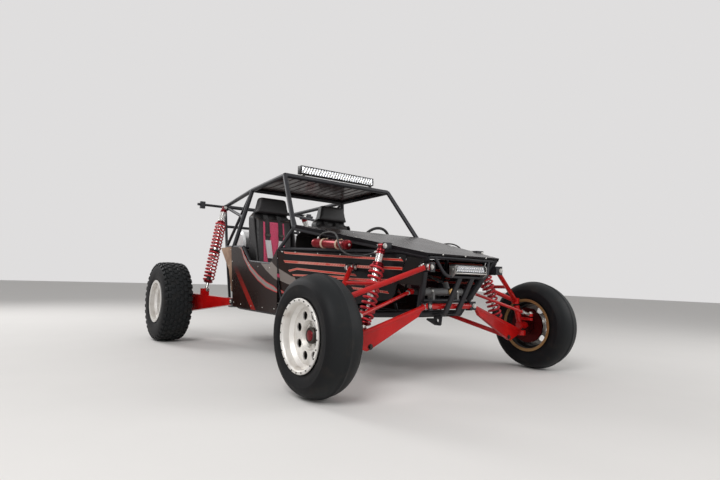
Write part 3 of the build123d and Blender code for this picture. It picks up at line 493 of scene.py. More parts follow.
@listed
def make_tail_red(f):
    ribs = (f.split(f.here())[2] * 1400).wave()
    colour = f.tint(ribs.rise(-0.5, 0.9), (0.30, 0.004, 0.006), (0.55, 0.02, 0.02))
    return f.surface(colour, 0.12 + ribs * 0.02, normal=f.bump(ribs, 0.0006), Coat_Weight=0.8)


@listed
def make_cream_band(f):
    cloud = f.noise(40, 4)
    colour = f.tint(cloud, (0.60, 0.44, 0.32), (0.42, 0.29, 0.20))
    return f.surface(colour, 0.4 + cloud * 0.2, normal=f.bump(f.noise(300, 2), 0.0003))


@listed
def make_braid(f):
    """Woven cover of a pressure hose."""
    x, y, z = f.split(f.here())
    weave = ((x + y) * 1500).wave() * ((z - y) * 1500).wave()
    colour = f.tint(weave.rise(-0.6, 0.8), (0.008, 0.008, 0.008), (0.05, 0.048, 0.047))
    return f.surface(colour, 0.42 + weave * 0.08, normal=f.bump(weave, 0.0006))


@listed
def make_bronze_sheet(f):
    """Warm brushed sheet with darker stains."""
    lines = f.noise(160, 3, f.placed((0, 0.7, 0), (0.1, 1, 4)))
    stain = f.noise(7, 5)
    colour = f.tint(stain.rise(0.35, 0.8), (0.46, 0.30, 0.20), (0.22, 0.12, 0.08))
    return f.surface(colour, 0.3 + lines * 0.2 + stain * 0.1, 0.8, f.bump(lines, 0.0001))


@listed
def make_suede(f):
    nap = f.noise(700, 3)
    colour = f.tint(f.noise(15, 4), (0.008, 0.008, 0.009), (0.024, 0.022, 0.023))
    return f.surface(colour, 0.75 + nap * 0.15, normal=f.bump(nap, 0.0006), Sheen_Weight=0.3)


# Painted lines are rows of (ahead of the front axle, above ground) points within a field's two limits.
# Stripes of the front side panel: points, half their width, how much of them is hatched
STRIPE_FIELD = ((-1300, 100), (500, 1000))
STRIPES = (
    (((-1135, 862), (-786, 841), (-470, 825), (-3, 802)), 7, 0.35),
    (((-1136, 792), (-649, 770), (-313, 755), (0, 747)), 9, 0.8),
    (((-1085, 717), (-991, 735), (-694, 715), (-398, 698)), 7, 0.2),
    (((-1041, 686), (-656, 683), (-500, 679)), 6, 0.1),
    (((-578, 672), (-320, 666), (-85, 668)), 8, 0.2),
    (((-433, 607), (-250, 597), (-123, 588)), 7, 0.6),
)
# The entry panel's sweep and band, each between a lower and an upper line
ENTRY_FIELD = ((-2100, -800), (350, 1050))
SWOOSH_LOW = ((-1939, 932), (-1860, 829), (-1719, 720), (-1549, 635), (-1391, 580), (-1246, 553),
              (-1150, 540))
SWOOSH_TOP = ((-1939, 960), (-1860, 862), (-1719, 762), (-1549, 680), (-1391, 622), (-1246, 588),
              (-1150, 548))
BAND_LOW = ((-1600, 812), (-1527, 790), (-1406, 722), (-1256, 657), (-1100, 613), (-940, 594))
BAND_TOP = ((-1400, 812), (-1304, 788), (-1194, 731), (-1057, 676), (-898, 641))


def share_of(value, limits):
    return (value - limits[0]) / (limits[1] - limits[0])


def over_line(f, x, z, points, field):
    """How far above a line a place lies, in millimetres."""
    ahead, up = field
    course = [(share_of(px, ahead), share_of(pz, up)) for px, pz in points]
    sockets = {"Factor": 1.0, "Value": share_of(x, ahead)}
    line = f.node("ShaderNodeFloatCurve", {"course": course}, sockets)
    return z - (line * (up[1] - up[0]) + up[0])


def stripe_mask(f, x, z, points, half):
    """1 on a stripe and 0 off it, with slanted ends, and the same for the stripe within its thin rim."""
    away = over_line(f, x, z, points, STRIPE_FIELD)
    slant = x + away * 0.9
    inside = slant.rise(points[0][0] - 2, points[0][0] + 2) * slant.rise(points[-1][0] + 2, points[-1][0] - 2)
    edge = abs(away)
    return edge.rise(half + 1.5, half) * inside, edge.rise(half - 2.5, half - 1) * inside


def side_view(f):
    """A surface's places in the side view, in millimetres ahead of the front axle and above ground."""
    x, _, z = f.split(f.here())
    return (x - AXLE_X) * 1000, z * 1000


def swept(f, x, z, cloud):
    """Dark red-black paint with a grey band and a grey sweep that is outlined in red."""
    base = f.tint(cloud, (0.010, 0.004, 0.003), (0.020, 0.008, 0.006))
    low, top, band_low, band_top = (
        over_line(f, x, z, line, ENTRY_FIELD) for line in (SWOOSH_LOW, SWOOSH_TOP, BAND_LOW, BAND_TOP))
    ended = x.rise(-1135, -1150)
    grey = low.rise(-1, 1) * top.rise(1, -1) * ended
    outline = abs(low).rise(5, 3).most(abs(top).rise(5, 3)) * ended
    base = f.tint(band_low.rise(-1, 1) * band_top.rise(1, -1), base, (0.21, 0.18, 0.165))
    base = f.tint(grey, base, (0.24, 0.215, 0.20))
    return f.tint(outline, base, (0.50, 0.05, 0.05))


@listed
def make_swoosh_panel(f):
    """Swept paint with a red wedge low at the back."""
    x, z = side_view(f)
    cloud = f.noise(5, 4)
    lean = z + (x + 1868) * 0.86
    wedge = (lean - 640).rise(2, -2) * (lean - 560).rise(-2, 2) * z.rise(800, 480)
    base = f.tint(wedge, swept(f, x, z, cloud), (0.24, 0.014, 0.010))
    return f.surface(f.dusted(base, 0.06), 0.22 + cloud * 0.12, IOR=1.28)


@listed
def make_striped_panel(f):
    """Black with thin-rimmed red stripes, hatched and fading to salmon, and swept paint behind."""
    x, z = side_view(f)
    cloud = f.noise(5, 4)
    base = f.tint(cloud, (0.006, 0.006, 0.007), (0.013, 0.011, 0.012))
    behind = (x + 1185 - (908 - z) * 0.688).rise(2, -2)
    base = f.tint(behind, base, swept(f, x, z, cloud))
    vivid = x.rise(-960, -700)
    patch = f.noise(5.5, 1, f.placed(stretch=(1, 1, 0.2))).rise(0.46, 0.54)
    hatch = ((x + z * 0.6) * 0.42).wave().rise(-0.2, 0.2)
    for points, half, hatched in STRIPES:
        band, rim = stripe_mask(f, x, z, points, half)
        fill = f.tint(vivid, (0.50, 0.09, 0.07), (0.56, 0.026, 0.016))
        pale = f.tint(patch * hatch * hatched, fill, (0.70, 0.42, 0.36))
        base = f.tint(band, base, f.tint(rim, pale, (0.62, 0.30, 0.24)))
    return f.surface(f.dusted(base, 0.06), 0.2 + cloud * 0.1, IOR=1.28)


@listed
def make_floor_pale(f):
    colour = settings().floor_colour
    return f.surface(f.tint(f.noise(2.5, 5), colour, tuple(c * 0.96 for c in colour)), 0.9)


def finish(name):
    """The material of a finish, made the first time that it is asked for."""
    made = bpy.data.materials.get(name)
    if made:
        return made
    under_way = Finish(bpy.data.materials.new(name))
    for make, kinds in SHARED:
        if name in kinds:
            return make(under_way, *kinds[name])
    return FINISHES[name](under_way)


# Finishes of the frame's own nodes that stay in sight
NODE_FINISHES = (
    ("frame_black", ("frame_side_left", "frame_side_right", "frame_cross_tubes", "cage_side_left",
                     "cage_side_right", "cage_cross_tubes", "pivot_brackets", "tail_bar")),
    ("swoosh_panel", ("entry_panels",)),
    ("bronze_sheet", ("rear_quarter_panels",)),
    ("roof_brown", ("roof_panel",)),
    ("satin_black", ("dash_panel", "firewall", "belly_pan", "pedals")),
    ("red_coat", ("upper_arms", "trailing_arms", "knuckle_left", "knuckle_right", "tie_rods")),
    ("rack_grey", ("steering_rack",)),
    ("brushed_aluminium", ("fuel_tank",)),
    ("hub_red", ("hub_front_left", "hub_front_right")),
    ("machined_steel", ("half_shaft_left", "half_shaft_right")),
    ("rear_wheel", ("rim_rear_left", "rim_rear_right")),
    ("dark_bolt", ("gear_lever",)),
)


# Making shapes


def bevel(part, edges, width, segments=2):
    bmesh.ops.bevel(part, geom=list(edges), offset=width, offset_type="OFFSET", affect="EDGES",
                    segments=segments, profile=0.5, material=-1)


def all_of(part):
    return part.verts[:] + part.edges[:] + part.faces[:]


def moved(part, place):
    bmesh.ops.transform(part, matrix=place, verts=part.verts)
    return part


def join_into(shape, part):
    """Add what a part holds to a shape."""
    held = bpy.data.meshes.new("part")
    part.to_mesh(held)
    shape.from_mesh(held)
    bpy.data.meshes.remove(held)


def draw_round(part, geom, angle, steps, rise=0.0, merge=False, copy=False):
    """Draw or copy geometry round Z, with a rise at each step."""
    bmesh.ops.spin(part, geom=geom, cent=(0, 0, 0), axis=(0, 0, 1), dvec=(0, 0, rise), angle=angle,
                   steps=steps, use_merge=merge, use_duplicate=copy)


def thicken(part, faces, way):
    """Draw faces out along a way."""
    grown = bmesh.ops.extrude_face_region(part, geom=faces)
    raised = [g for g in grown["geom"] if isinstance(g, bmesh.types.BMVert)]
    bmesh.ops.translate(part, vec=way, verts=raised)


def smoothed(part, times):
    for _ in range(times):
        bmesh.ops.smooth_vert(part, verts=part.verts, factor=0.5, use_axis_x=True, use_axis_y=True,
                              use_axis_z=True)


def block(size, width=0.0, segments=2):
    """A box of a size in millimetres about its middle, with rounded edges."""
    part = bmesh.new()
    bmesh.ops.create_cube(part, size=1.0)
    bmesh.ops.scale(part, vec=mm(*size), verts=part.verts)
    if width:
        bevel(part, part.edges, width, segments)
    return part


def drum(radius, height, sides=32, width=0.0):
    """A disc or bar that stands on its origin, with its two rims rounded."""
    part = bmesh.new()
    raised = Matrix.Translation((0, 0, height / 2))
    bmesh.ops.create_cone(part, cap_ends=True, cap_tris=False, segments=sides, radius1=radius, radius2=radius,
                          depth=height, matrix=raised)
    if width:
        rims = [e for e in part.edges if abs(e.verts[0].co.z - e.verts[1].co.z) < MERGE]
        bevel(part, rims, width)
    return part


def turned(profile, steps, closed=False):
    """A line of (radius, height) points in millimetres turned about Z."""
    part = bmesh.new()
    verts = [part.verts.new((radius * MM, 0, height * MM)) for radius, height in profile]
    ends = verts[1:] + verts[:1] if closed else verts[1:]
    edges = [part.edges.new(pair) for pair in zip(verts, ends)]
    draw_round(part, verts + edges, math.tau, steps, merge=True)
    bmesh.ops.remove_doubles(part, verts=part.verts, dist=MERGE)
    bmesh.ops.dissolve_degenerate(part, edges=part.edges, dist=MERGE)
    return part


def coil(radius, wire, rise, turns, steps=28, sides=10):
    """A wire wound up from its origin, with its two ends closed."""
    part = bmesh.new()
    section = Matrix.Translation((radius, 0, 0)) @ spun(math.pi / 2, "X")
    bmesh.ops.create_circle(part, cap_ends=False, segments=sides, radius=wire, matrix=section)
    count = round(turns * steps)
    draw_round(part, part.verts[:] + part.edges[:], turns * math.tau, count, rise / count)
    bmesh.ops.holes_fill(part, edges=part.edges, sides=0)
    return part


def repeated(part, count, *start):
    """The part, moved first by millimetres where they are given, and its copies, evenly round Z."""
    if start:
        bmesh.ops.translate(part, vec=mm(*start), verts=part.verts)
    draw_round(part, all_of(part), math.tau * (count - 1) / count, count - 1, copy=True)
    return part


def pipe(points, radius, smooth=True):
    """A round bar along a smooth curve, or along straight runs."""
    curve = bpy.data.curves.new("run", "CURVE")
    curve.dimensions = "3D"
    curve.bevel_depth = radius
    curve.bevel_resolution = 3
    curve.use_fill_caps = True
    curve.resolution_u = 10
    spline = curve.splines.new("NURBS" if smooth else "POLY")
    spline.points.add(len(points) - 1)
    for point, place in zip(spline.points, points):
        point.co = (*place, 1.0)
    if smooth:
        spline.order_u = 3
        spline.use_endpoint_u = True
    holder = bpy.data.objects.new("run", curve)
    shape = bpy.data.meshes.new_from_object(holder)
    part = bmesh.new()
    part.from_mesh(shape)
    bpy.data.objects.remove(holder)
    bpy.data.curves.remove(curve)
    bpy.data.meshes.remove(shape)
    return part


def hex_bolt(radius, height, washer=True):
    """A hexagon head with a bevelled top on a washer."""
    part = drum(radius, height, 6)
    top = [e for e in part.edges if all(abs(v.co.z - height) < MERGE for v in e.verts)]
    bevel(part, top, radius * 0.14, 1)
    if washer:
        wide = radius * 1.35
        bmesh.ops.create_cone(part, cap_ends=True, segments=20, radius1=wide, radius2=wide,
                              depth=height * 0.2, matrix=Matrix.Translation((0, 0, height * 0.1)))
    return part


def button_head(radius, height):
    """A low round head."""
    part = bmesh.new()
    bmesh.ops.create_uvsphere(part, u_segments=14, v_segments=8, radius=1.0)
    bmesh.ops.bisect_plane(part, geom=all_of(part), plane_co=(0, 0, 0), plane_no=(0, 0, -1), clear_outer=True)
    bmesh.ops.holes_fill(part, edges=part.edges, sides=0)
    bmesh.ops.scale(part, vec=(radius, radius, height), verts=part.verts)
    return part


class Piece:
    """A piece under way: its parts are put in place and joined in one mesh."""

    def __init__(self, name, *finishes):
        self.name = name
        self.finishes = finishes
        self.shape = bmesh.new()

    def add(self, part, place=None, finish=0, twin=False):
        """Join a part, with its faces turned outward, and its mirror image if it has a twin."""
        bmesh.ops.remove_doubles(part, verts=part.verts, dist=MERGE)
        bmesh.ops.recalc_face_normals(part, faces=part.faces)
        if place is not None:
            moved(part, place)
        for face in part.faces:
            face.material_index = finish
        join_into(self.shape, part)
        if twin:
            bmesh.ops.scale(part, vec=(1, -1, 1), verts=part.verts)
            bmesh.ops.reverse_faces(part, faces=part.faces)
            join_into(self.shape, part)
        part.free()

    def turn(self, profile, steps, place, finish=0, twin=False):
        """Join an open profile turned about its place's Z."""
        self.add(turned(profile, steps), place, finish, twin)

    def ring(self, profile, steps, place, finish=0, twin=False):
        """Join a closed profile turned about its place's Z."""
        self.add(turned(profile, steps, True), place, finish, twin)

    def done(self, body, slot, replaces=(), sharp=35):
        """The finished object, smooth but for its sharp edges, riding on its body."""
        mesh = bpy.data.meshes.new(self.name)
        self.shape.to_mesh(mesh)
        self.shape.free()
        for name in self.finishes:
            mesh.materials.append(finish(name))
        mesh.shade_smooth()
        mesh.set_sharp_from_angle(angle=math.radians(sharp))
        made = linked(self.name, mesh)
        if replaces:
            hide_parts(*replaces)
        if body:
            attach(made, body)
        return made


# Wheels


def mirrored_profile(half):
    """A closed section from one half of it, given as (radius, from the middle) points."""
    return list(half) + [(r, -a) for r, a in reversed(half) if a > 0]


FRONT_SECTION = (
    (191, 92), (207, 95), (219, 105), (238, 111), (258, 114), (276, 114), (279, 114.6), (282, 113.2),
    (300, 107), (314, 96), (325, 81), (333, 63), (339, 43), (342.4, 22), (343.4, 9), (347, 4), (348, 0),
)
REAR_SECTION = (
    (191, 109), (207, 112), (219, 124), (238, 131), (266, 135.6), (300, 136.2), (328, 133), (348, 125),
    (364, 112), (374, 92), (379, 62), (381, 30), (382, 0),
)
# Rows of tread blocks: from the middle, length round the tyre, width, turn, share of a pitch set on by
TREAD_ROWS = (
    (19, 46, 32, 0.32, 0.0),
    (57, 44, 30, -0.28, 0.45),
    (92, 46, 27, 0.0, 0.1),
)
# The turn that lays a block on the tread, with its top away from the axle
ON_TREAD = Matrix(((0, 0, 1, 0), (0, 1, 0, 0), (-1, 0, 0, 0), (0, 0, 0, 1)))
# What sits in a wheel's middle: how far out its nuts are, the hub cap and its dome
WHEEL_CENTRES = {
    "front": (62, ((43, 0), (46, 2), (46, 24), (42, 28), (33, 29), (31, 26)),
              ((31, 26), (29, 29), (18, 31), (0, 32))),
    "rear": (69.85, ((42, 30), (45, 34), (45, 47), (42, 50), (33, 50), (31, 45)),
             ((31, 45), (29, 50), (18, 53), (0, 54))),
}


def tread_radius(across):
    """The height of the rear tread above the axle, lower towards the shoulders."""
    return 390 - 8 * (across / 102.5) ** 2


def tread_block(length, width, depth):
    """One block, narrower at its top and nicked across."""
    part = block((width, length, depth))
    top = [v for v in part.verts if v.co.z > 0]
    bmesh.ops.scale(part, vec=(0.84, 0.86, 1), verts=top)
    rim = [e for e in part.edges if all(v in top for v in e.verts)]
    bevel(part, rim, 0.0022, 1)
    return part


def tread_pitch(side):
    """The blocks of one pitch on one side, about the axle on Z."""
    part = bmesh.new()
    pitch = math.tau / settings().tread_pitches
    half = 0.5 if side < 0 else 0.0
    laid = []
    for across, length, width, turn, shift in TREAD_ROWS:
        seat = spun(pitch * (shift + half)) @ by(tread_radius(across) - 6.5, 0, across * side)
        laid.append((tread_block(length, width, 13), seat @ ON_TREAD @ spun(turn * side)))
    seat = spun(pitch * 0.1 + pitch * half) @ by(361, 0, 119 * side) @ spun(-0.95 * side, "Y")
    laid.append((tread_block(38, 34, 14), seat @ ON_TREAD))
    for one, place in laid:
        join_into(part, moved(one, place))
        one.free()
    return part


def join_into(shape, part):
    """Add what a part holds to a shape."""
    held = bpy.data.meshes.new("part")
    part.to_mesh(held)
    shape.from_mesh(held)
    bpy.data.meshes.remove(held)


def make_front_tyre(side_name, side):
    """A smooth sand tyre with one sharp rib round its middle."""
    piece = Piece(f"front_tyre_{side_name}", "front_rubber")
    piece.ring(mirrored_profile(FRONT_SECTION), 96, wheel_place(*FRONT_WHEEL, side))
    piece.done(f"wheel_front_{side_name}", "tyre_rubber", (f"tyre_front_{side_name}",), 50)


def make_rear_tyre(side_name, side):
    """An all-terrain tyre: six rows of blocks and lugs that run over the shoulders."""
    piece = Piece(f"rear_tyre_{side_name}", "rear_rubber")
    place = wheel_place(*REAR_WHEEL, side)
    piece.ring(mirrored_profile(REAR_SECTION), 96, place)
    for way in (-1, 1):
        piece.add(repeated(tread_pitch(way), settings().tread_pitches), place)
    piece.done(f"wheel_rear_{side_name}", "tyre_rubber", (f"tyre_rear_{side_name}",))


def make_wheel_fittings(end, ahead, across, radius, width, face, side_name, side):
    """What is bolted to a wheel: nuts, hub cap and valve, and on the front wheels a ring of small bolts."""
    piece = Piece(f"wheel_fittings_{end}_{side_name}", "dark_bolt", "anodised_red", f"{end}_wheel", "zinc")
    place = wheel_place(ahead, across, radius, side)
    seat = place @ by(0, 0, face)
    out, cap, dome = WHEEL_CENTRES[end]
    piece.add(repeated(hex_bolt(0.0095, 0.016), 6, out, 0, 0), seat, 3)
    piece.turn(cap, 40, seat)
    piece.turn(dome, 40, seat, 1)
    lip = width / 2
    piece.add(drum(0.0045, 0.03, 12, 0.001), place @ by(160, 0, lip - 62) @ spun(-0.5, "Y"))
    if end == "front":
        band = ((188, -5), (205, -2), (205, 2), (203, 4), (190, 4), (188, 2))
        piece.ring([(r, lip + a) for r, a in band], 72, place, 2)
        bolt = hex_bolt(0.0042, 0.0045, False)
        piece.add(repeated(bolt, settings().ring_bolts, 197, 0, lip + 3.5), place)
    piece.done(f"wheel_{end}_{side_name}", "wheel_silver")


# Shocks


def shock_frame(top, low):
    """The matrix of a shock, from its top eye with Z down along it, and its length in millimetres."""
    start, end = at(*top), at(*low)
    return aim(start, end - start), (end - start).length / MM


def ribbed(radius, depth, start, end, pitch):
    """Points of a threaded or ribbed length."""
    count = int((end - start) / pitch)
    points = []
    for index in range(count):
        low = start + index * pitch
        points += [(radius - depth, low), (radius, low + pitch * 0.35), (radius, low + pitch * 0.65)]
    return points + [(radius - depth, end)]


def make_shocks(name, top, low, body, spring, start, split):
    """A pair of coil-over dampers: caps, threaded bodies, collars, bright shafts and eyes."""
    piece = Piece(f"{name}_damper_pair", "polished_steel", "anodised_red", "black_rubber", "zinc")
    place, length = shock_frame(top, low)
    collar = start * length
    cap = ((0, 22), (body - 6, 22), (body, 28), (body + 1, 40), (body - 3, 44), (body + 1, 48),
           (body + 1, 60), (body - 1, 62), (0, 62))
    piece.turn(cap, 40, place, 1, True)
    threads = [(0, 60)] + ribbed(body - 1, 1.2, 60, collar + 26, 4) + [(0, collar + 26)]
    piece.turn(threads, 36, place, 0, True)
    for shift, reach in ((-16, 10), (-2, 14)):
        low_edge, high_edge = collar + shift, collar + shift + 11
        ring = ((body - 2, low_edge), (body + reach - 2, low_edge), (body + reach, low_edge + 2),
                (body + reach, high_edge - 2), (body + reach - 2, high_edge), (body - 2, high_edge))
        piece.ring(ring, 40, place, 1, True)
    lower = ((0, collar), (body - 3, collar), (body - 3, 0.6 * length), (body - 6, 0.62 * length),
             (0, 0.62 * length))
    piece.turn(lower, 36, place, 0, True)
    piece.add(drum(0.011, 0.36 * length * MM, 24), place @ by(0, 0, 0.6 * length), 0, True)
    bump_stop = ((12, 0.79), (22, 0.795), (18, 0.815), (23, 0.83), (19, 0.85), (24, 0.87), (24, 0.9),
                 (12, 0.9))
    piece.ring([(r, share * length) for r, share in bump_stop], 32, place, 2, True)
    seat = SPRING_END * length
    cup = ((11, seat), (body + 12, seat), (body + 14, seat + 3), (body + 14, seat + 9), (body + 6, seat + 15),
           (14, seat + 22), (11, seat + 22))
    piece.ring(cup, 40, place, 1, True)
    stem = ((0, 0.92 * length), (13, 0.92 * length), (15, 0.94 * length), (13, length - 14), (0, length - 8))
    piece.turn(stem, 24, place, 3, True)
    piece.add(drum(0.014, 0.026, 24, 0.002), place, 1, True)
    for eye in (top, low):
        bush = ((8, -22), (17, -22), (20, -18), (20, 18), (17, 22), (8, 22))
        piece.ring(bush, 32, aim(at(*eye), AHEAD), 1, True)
        for way in (-1, 1):
            sleeve = ((7.2, 20), (12, 20), (12, 22.2), (7.2, 22.2))
            piece.ring(sleeve, 24, aim(at(*eye), (way, 0, 0)), 3, True)
    if split:
        middle = (start + (SPRING_END - start) * split) * length
        guide = ((body - 1, middle - 8), (spring - 9, middle - 6), (spring - 2, middle - 3),
                 (spring - 2, middle + 3), (spring - 9, middle + 6), (body - 1, middle + 8))
        piece.ring(guide, 40, place, 2, True)
    piece.done("chassis", "shock_steel", (f"{name}_shocks",))


def make_coil_springs():
    """Wound springs between the collars and the cups of all four shocks."""
    piece = Piece("coil_springs", "spring_red")
    wire = settings().spring_wire * 500
    for _, top, low, _, spring, start, split, turns in SHOCKS:
        place, length = shock_frame(top, low)
        bounds = (start * length + 2 + wire, SPRING_END * length - wire)
        halves = (bounds,)
        if split:
            cut = (start + (SPRING_END - start) * split) * length
            halves = ((bounds[0], cut - 4 - wire), (cut + 4 + wire, bounds[1]))
        for low_end, high_end in halves:
            rise = (high_end - low_end) * MM
            wound = coil((spring - wire) * MM, wire * MM, rise, turns / len(halves))
            piece.add(wound, place @ by(0, 0, low_end), 0, True)
    piece.done("chassis", "spring_red", ("shock_springs",))


# Bars, sheets and pierced plates


def bar(start, end, radius, sides=24, width=0.0):
    """A round bar between two places, closed at its ends."""
    a, b = at(*start), at(*end)
    return moved(drum(radius * MM, (b - a).length, sides, width), aim(a, b - a))


def sheet(corners, thickness, width=0.0005):
    """A flat sheet through corner places in metres, thickened both ways from its middle."""
    part = bmesh.new()
    face = part.faces.new([part.verts.new(place) for place in corners])
    face.normal_update()
    half = face.normal * thickness * MM / 2
    bmesh.ops.translate(part, vec=-half, verts=part.verts)
    thicken(part, [face], half * 2)
    bevel(part, part.edges, width, 1)
    return part


def side_plate(outline, y0, y1, width):
    """A plate with an outline of (ahead, up) points, from y0 to y1."""
    part = bmesh.new()
    face = part.faces.new([part.verts.new((x, y, 0)) for x, y in side_view_points(outline)])
    thicken(part, [face], (0, 0, (y1 - y0) * MM))
    bevel(part, part.edges, width)
    return stood_up(part, y1)


def side_view_points(outline):
    """The frame's metres of (ahead, up) points."""
    return [(AXLE_X + x * MM, z * MM) for x, z in outline]


def stood_up(part, y1):
    """A part from the XY plane, turned into the plane of the side view, with its first face at y1."""
    return moved(part, Matrix(((1, 0, 0, 0), (0, 0, -1, y1 * MM), (0, 1, 0, 0), (0, 0, 0, 1))))


def pierced(outline, holes, thickness, width):
    """A plate with round holes through it, from (x, y) points and (x, y, radius) holes in metres."""
    part = bmesh.new()
    rim = [part.verts.new((x, y, 0)) for x, y in outline]
    for pair in zip(rim, rim[1:] + rim[:1]):
        part.edges.new(pair)
    for x, y, radius in holes:
        centre = Matrix.Translation((x, y, 0))
        bmesh.ops.create_circle(part, cap_ends=False, segments=28, radius=radius, matrix=centre)
    bmesh.ops.triangle_fill(part, use_beauty=True, use_dissolve=False, edges=part.edges[:])
    thicken(part, part.faces[:], (0, 0, thickness))
    bmesh.ops.recalc_face_normals(part, faces=part.faces)
    bevel(part, [e for e in part.edges if len(e.link_faces) == 2 and e.calc_face_angle() > 1.2], width)
    return part


def circle_points(radius, count):
    angles = [math.tau * i / count for i in range(count)]
    return [(radius * math.cos(angle), radius * math.sin(angle)) for angle in angles]


def eased(places, radius, steps=6):
    """A run of places with each corner taken round a bend."""
    line = [places[0]]
    for a, b, c in zip(places, places[1:], places[2:]):
        start = b + (a - b).normalized() * radius
        end = b + (c - b).normalized() * radius
        for index in range(steps + 1):
            share = index / steps
            line.append(start * (1 - share) ** 2 + b * 2 * share * (1 - share) + end * share ** 2)
    return line + [places[-1]]


def other_side(place):
    return Vector((place.x, -place.y, place.z))


def met(target, start, way):
    """Where a line from a place first meets an object, and which way the surface faces there."""
    graph = bpy.context.evaluated_depsgraph_get()
    found, spot, normal, _ = target.ray_cast(start, Vector(way).normalized(), depsgraph=graph)
    if not found:
        raise RuntimeError(f"nothing of {target.name} to carry a piece at {tuple(start)}")
    return spot, normal


# Front wheels


def make_front_wheel_body(side_name, side):
    """A dished wheel with a drilled centre plate, a bowl for its nuts and a clamped outer ring."""
    piece = Piece(f"front_wheel_{side_name}", "front_wheel")
    place = wheel_place(*FRONT_WHEEL, side)
    half = 111
    outside = ((207, 0), (207, 5), (204, 7), (192, 8), (190, 11), (190, 45), (172, 65))
    inside = ((165, 65), (183, 45), (183, 8), (186, 2), (188, 0))
    profile = [(r, a - half) for r, a in outside] + [(r, half - a) for r, a in reversed(outside)]
    profile += [(r, half - a) for r, a in reversed(inside)] + [(r, a - half) for r, a in inside]
    piece.ring(profile, 96, place)
    holes = [(x, y, HOLE_R * MM) for x, y in circle_points(HOLE_CIRCLE * MM / 2, HOLE_COUNT)]
    centre = pierced(circle_points(0.1695, 72), holes + [(0, 0, 0.086)], 0.01, 0.0014)
    piece.add(centre, place @ by(0, 0, FRONT_FACE + 20) @ spun(HOLE_TURN * side))
    bowl = ((90, 42.4), (87, 42.4), (85, 40), (78.5, 15), (76, 12), (42, 12), (42, 2), (70, 2), (70, -19),
            (81, -19), (84, 29), (90, 32))
    piece.ring(bowl, 64, place)
    piece.done(f"wheel_front_{side_name}", "wheel_silver", (f"rim_front_{side_name}",))


# The nose, the hood and the side sheets

NOSE_TOP = (150, 335, 826)
NOSE_LOW = (-50, 200, 450)
COWL = (-975, 660, 1052)
COWL_LOW = (-1225, 646, 894)
FLOOR_FRONT = (-1180, 600, 375)
LOWER_PIVOT = (44, 230, 505)
LOWER_PIVOT_REAR = (-470, 397, 444)
UPPER_PIVOT = (165, 352, 759)
UPPER_PIVOT_REAR = (-416, 512, 749)
LOWER_BALL = (4, 870, 296)
UPPER_BALL = (-50, 870, 535)
TIE_EYE = (88, 870, 434)
TUBE = 44
SHEET = 3
SKIN = TUBE / 2 + 0.3 + SHEET / 2


def along_rail(a, b, ahead):
    return between(a, b, (ahead - a[0]) / (b[0] - a[0]))


def shifted(place, dx=0, dy=0, dz=0):
    return (place[0] + dx, place[1] + dy, place[2] + dz)


def outward(normal):
    normal = normal.normalized()
    return normal if normal.y > 0 else -normal


def on_plane(a, b, c, ahead, up):
    """The place of the plane through a, b and c that has the given length and height."""
    normal = (Vector(b) - Vector(a)).cross(Vector(c) - Vector(a))
    return (ahead, a[1] - (normal.x * (ahead - a[0]) + normal.z * (up - a[2])) / normal.y, up)


def side_plane():
    """Three places in the middle of a front side panel's sheet."""
    top = along_rail(NOSE_TOP, COWL, 0)
    low = along_rail(NOSE_LOW, FLOOR_FRONT, -1165)
    normal = outward((Vector(low) - Vector(top)).cross(Vector(COWL_LOW) - Vector(top)))
    return [tuple(Vector(p) + normal * SKIN) for p in (shifted(top, dz=-16), shifted(COWL_LOW, dz=-16), low)]


def make_side_panels():
    """The front side panels, from the nose back to the entry."""
    piece = Piece("side_panel_pair", "striped_panel")
    a, b, c = side_plane()
    corners = (a, b, c, on_plane(a, b, c, -95, 545), on_plane(a, b, c, 30, 828))
    piece.add(sheet([at(*p) for p in corners], SHEET), twin=True)
    piece.done("chassis", "panel_gloss_black", ("side_panels",))


def make_nose_panels():
    """The bent black sheets that close the nose ahead of the side panels."""
    piece = Piece("nose_panel_pair", "satin_black")
    a, b, c = side_plane()
    normal = outward((Vector(COWL) - Vector(NOSE_TOP)).cross(Vector(NOSE_LOW) - Vector(NOSE_TOP)))
    top = tuple(Vector(shifted(NOSE_TOP, dz=-10)) + normal * SKIN)
    share = (826 - 650) / (826 - 450)
    low = tuple(Vector(between(NOSE_TOP, NOSE_LOW, share)) + normal * SKIN)
    edge = [on_plane(a, b, c, 36, 826), on_plane(a, b, c, -43, 650)]
    for corners in ((top, edge[0], edge[1]), (top, edge[1], low)):
        piece.add(sheet([at(*p) for p in corners], SHEET), twin=True)
    piece.done("chassis", "panel_gloss_black")


